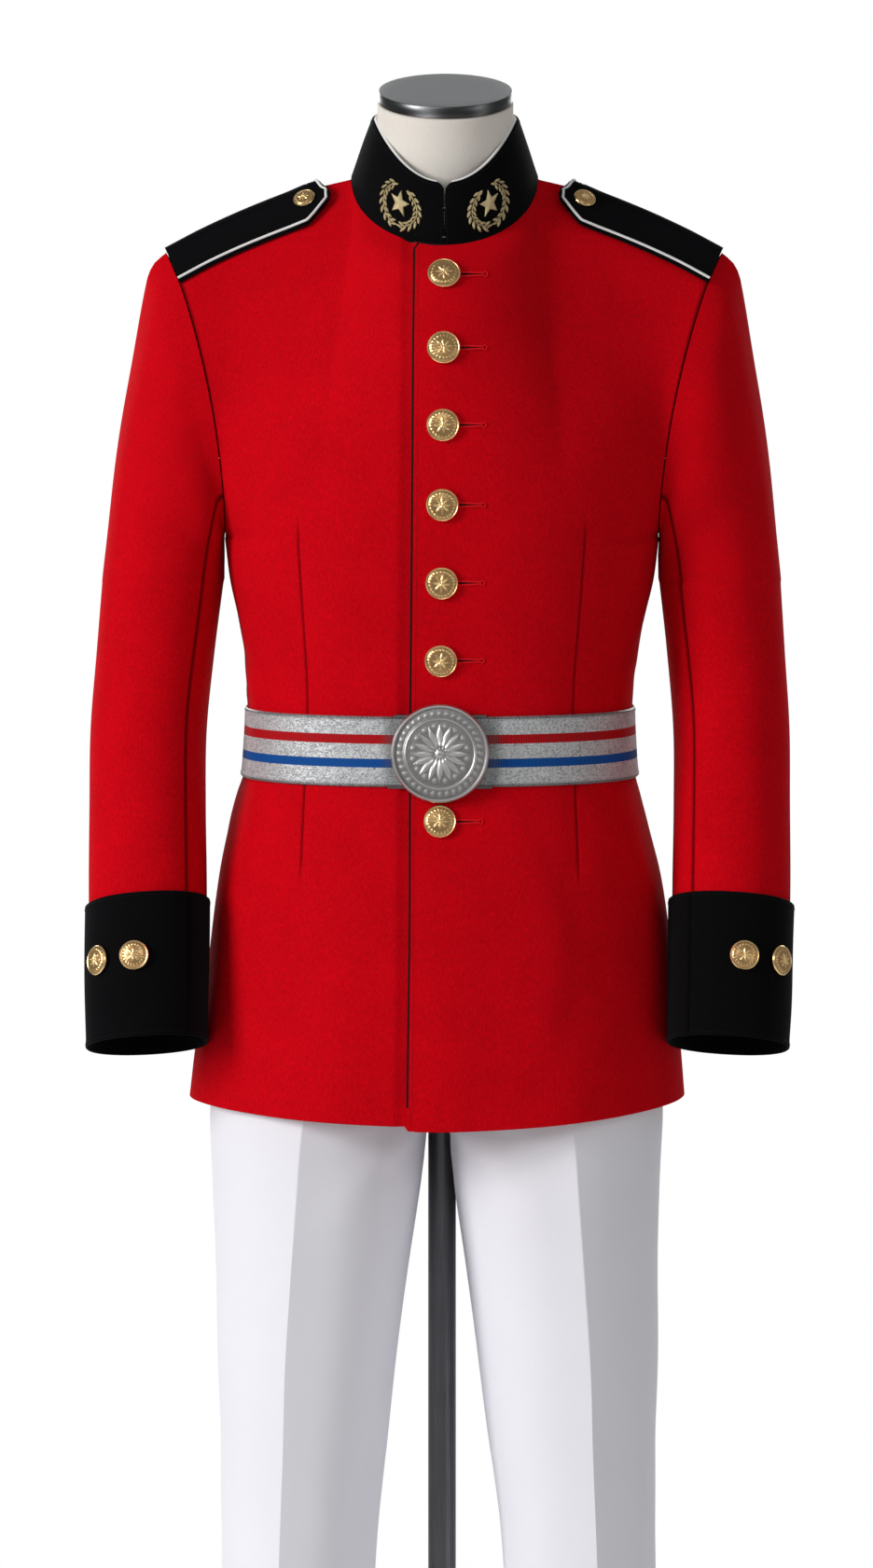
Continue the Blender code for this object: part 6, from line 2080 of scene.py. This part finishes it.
class UNIFORM_OT_trousers(bpy.types.Operator):
    """Draw the pressed trousers and their waistband"""

    bl_idname = "uniform.trousers"
    bl_label = "Trousers"

    def execute(self, context):
        levels = np.concatenate([np.linspace(1.0597, CROTCH_Z, 40),
                                 np.linspace(CROTCH_Z, TROUSER_HEM, 120)[1:]])
        for side, word in SIDES:
            for back, part in ((False, "front"), (True, "back")):
                self.panel(side, word, back, part, levels)
        z = np.linspace(WAISTBAND_LOW, TROUSER_TOP, 8)[:, None]
        p = leaning(body_ring(40, z, *(smooth(LEG, z, c) + 0.0002 for c in (2, 4, 5))))
        cloth_piece("trouser_waistband", p, TROUSER_CLOTH, np.array((0, 0, 1.08)), "white_cloth",
                    "stretched", True, name="waistband_cloth")
        return {"FINISHED"}

    def panel(self, side, word, back, part, levels):
        """Front or back of one leg, from the waist to the hem, with its pressed crease."""
        cx, half, xc = (smooth(LEG, levels, c) for c in (1, 2, 6))
        q = np.clip((xc - cx) / half, -0.999, 0.999)
        crease = np.degrees(np.arccos(power(q, ROUNDNESS / 2)))
        reach = np.degrees(np.arccos(-power(np.minimum(1.0, cx / half), ROUNDNESS / 2)))
        inner = np.where(levels <= CROTCH_Z, 179.95, reach)
        start = np.full(len(levels), 0.05)
        if back:
            crease, inner, start = 360 - crease, 360 - inner, 360 - start
        step = np.where(crease > start, 1.0, -1.0) * 1.6
        keys = np.stack([start, crease - step, crease, crease + step, inner], axis=1)
        angle = columns(keys, [20, 3, 3, 30])
        z = levels[:, None]
        p = trouser_section(z, angle, side)
        height = creases(LEG_FOLDS, angle, z, LEG_DEGREE)
        height = height + 0.0012 * ripple(p, 0.22, 51 if side > 0 else 52)
        gap = np.abs(angle - crease[:, None]) * LEG_DEGREE
        height = height * (0.25 + 0.75 * ease(0.0, 0.030, gap)) * ease(1.055, 1.00, z)
        close = bell(p[..., 1], 0.04, 4) * ease(0.62, 0.76, z) * (z < 0.87)
        inside = np.abs(angle - 180) < 60
        height = np.where(inside, np.minimum(height, 0.0002 + (1 - close)), height)
        height = height * (1 - close * inside)
        ends = np.minimum(np.abs(angle - start[:, None]), np.abs(angle - inner[:, None]))
        ends = ends * LEG_DEGREE
        height = height - 0.0005 * bell(ends, 0.0012)
        axis = points(side * np.maximum(0.02, cx)[:, None], 0.0, z)
        # painted shade along the outer and inner seams, through the seam values
        cloth_piece("trouser_%s_%s" % (part, word), p, TROUSER_CLOTH, axis, "white_cloth", "hung",
                    rolled=("high",), push=height,
                    seam=0.8 * bell(ends, 0.0009))


class UNIFORM_OT_stage(bpy.types.Operator):
    """Set the pale floor, the soft studio lights and the camera"""

    bl_idname = "uniform.stage"
    bl_label = "Stage"

    def execute(self, context):
        scene = context.scene
        steps = 96
        a = 2 * math.pi * np.arange(steps) / steps
        rim = points(1.75 * np.cos(a), 1.75 * np.sin(a), -0.0002)
        mesh = make_mesh("floor", rim, [tuple(range(steps))], None, 35.0, None, False)
        floor = bpy.data.objects.new("floor", mesh)
        scene.collection.objects.link(floor)
        mesh.materials.append(finish_of("floor"))
        self.world(scene)
        for name, at, aim, width, height, watts in (
                ("key", (-4.0, -2.5, 2.6), (0.0, 0.0, 1.10), 1.5, 2.4, 178.0),
                ("fill", (3.2, -3.0, 1.6), (0.05, 0.0, 1.10), 2.2, 2.2, 12.0),
                ("front", (-0.3, -4.6, 3.2), (0.0, 0.0, 1.00), 2.0, 1.2, 19.0),
                ("back_left", (-1.4, 3.6, 2.4), (0.0, 0.0, 1.10), 1.6, 2.2, 62.0),
                ("back_right", (1.4, 3.6, 2.4), (0.0, 0.0, 1.10), 1.6, 2.2, 52.0)):
            self.light(name, at, aim, width, height, watts)
        eye, target = Vector((-0.0046, -6.0, 1.58)), Vector((-0.0046, 0.0, 1.0588))
        data = bpy.data.cameras.new("camera")
        data.sensor_width = 36.0
        data.lens = 18.0 / (0.647 / (target - eye).length)
        data.clip_start, data.clip_end = 0.1, 60.0
        camera = bpy.data.objects.new("camera", data)
        scene.collection.objects.link(camera)
        camera.location = eye
        camera.rotation_mode = "QUATERNION"
        camera.rotation_quaternion = (target - eye).to_track_quat("-Z", "Y")
        scene.camera = camera
        scene.view_settings.view_transform = "Standard"
        scene.view_settings.look = "None"
        return {"FINISHED"}

    def world(self, scene):
        """White to look at, and a softer grey as light."""
        world = bpy.data.worlds.new("studio")
        world.use_nodes = True
        tree = world.node_tree
        tree.nodes.clear()
        seen, light = tree.nodes.new("ShaderNodeBackground"), tree.nodes.new("ShaderNodeBackground")
        seen.inputs[0].default_value = (1, 1, 1, 1)
        light.inputs[0].default_value = (1, 1, 1, 1)
        light.inputs[1].default_value = 0.30
        path, mix = tree.nodes.new("ShaderNodeLightPath"), tree.nodes.new("ShaderNodeMixShader")
        out = tree.nodes.new("ShaderNodeOutputWorld")
        tree.links.new(path.outputs["Is Camera Ray"], mix.inputs[0])
        tree.links.new(light.outputs[0], mix.inputs[1])
        tree.links.new(seen.outputs[0], mix.inputs[2])
        tree.links.new(mix.outputs[0], out.inputs[0])
        scene.world = world

    def light(self, name, at, towards, width, height, watts):
        data = bpy.data.lights.new(name, "AREA")
        data.shape = "RECTANGLE"
        data.size, data.size_y, data.energy = width, height, watts
        obj = bpy.data.objects.new(name, data)
        bpy.context.scene.collection.objects.link(obj)
        obj.location = at
        obj.rotation_mode = "QUATERNION"
        obj.rotation_quaternion = (Vector(towards) - Vector(at)).to_track_quat("-Z", "Y")


OPERATORS = (UNIFORM_OT_stand, UNIFORM_OT_form, UNIFORM_OT_trousers, UNIFORM_OT_tunic,
             UNIFORM_OT_sleeves, UNIFORM_OT_cuffs, UNIFORM_OT_collar, UNIFORM_OT_straps,
             UNIFORM_OT_belt, UNIFORM_OT_buttons, UNIFORM_OT_stage)


class UNIFORM_PT_pieces(bpy.types.Panel):
    """Lists the pieces of the uniform and its settings"""

    bl_label = "Dress uniform"
    bl_idname = "UNIFORM_PT_pieces"
    bl_space_type = "VIEW_3D"
    bl_region_type = "UI"
    bl_category = "Uniform"

    def draw(self, context):
        for name in UniformSettings.__annotations__:
            self.layout.prop(context.scene.uniform_settings, name)
        for operator in OPERATORS:
            self.layout.operator(operator.bl_idname)


def register():
    bpy.utils.register_class(UniformSettings)
    bpy.types.Scene.uniform_settings = PointerProperty(type=UniformSettings)
    for operator in OPERATORS:
        bpy.utils.register_class(operator)
    bpy.utils.register_class(UNIFORM_PT_pieces)


def unregister():
    bpy.utils.unregister_class(UNIFORM_PT_pieces)
    for operator in reversed(OPERATORS):
        bpy.utils.unregister_class(operator)
    del bpy.types.Scene.uniform_settings
    bpy.utils.unregister_class(UniformSettings)


def main():
    register()
    for operator in OPERATORS:
        family, name = operator.bl_idname.split(".")
        getattr(getattr(bpy.ops, family), name)()


if __name__ == "__main__":
    main()
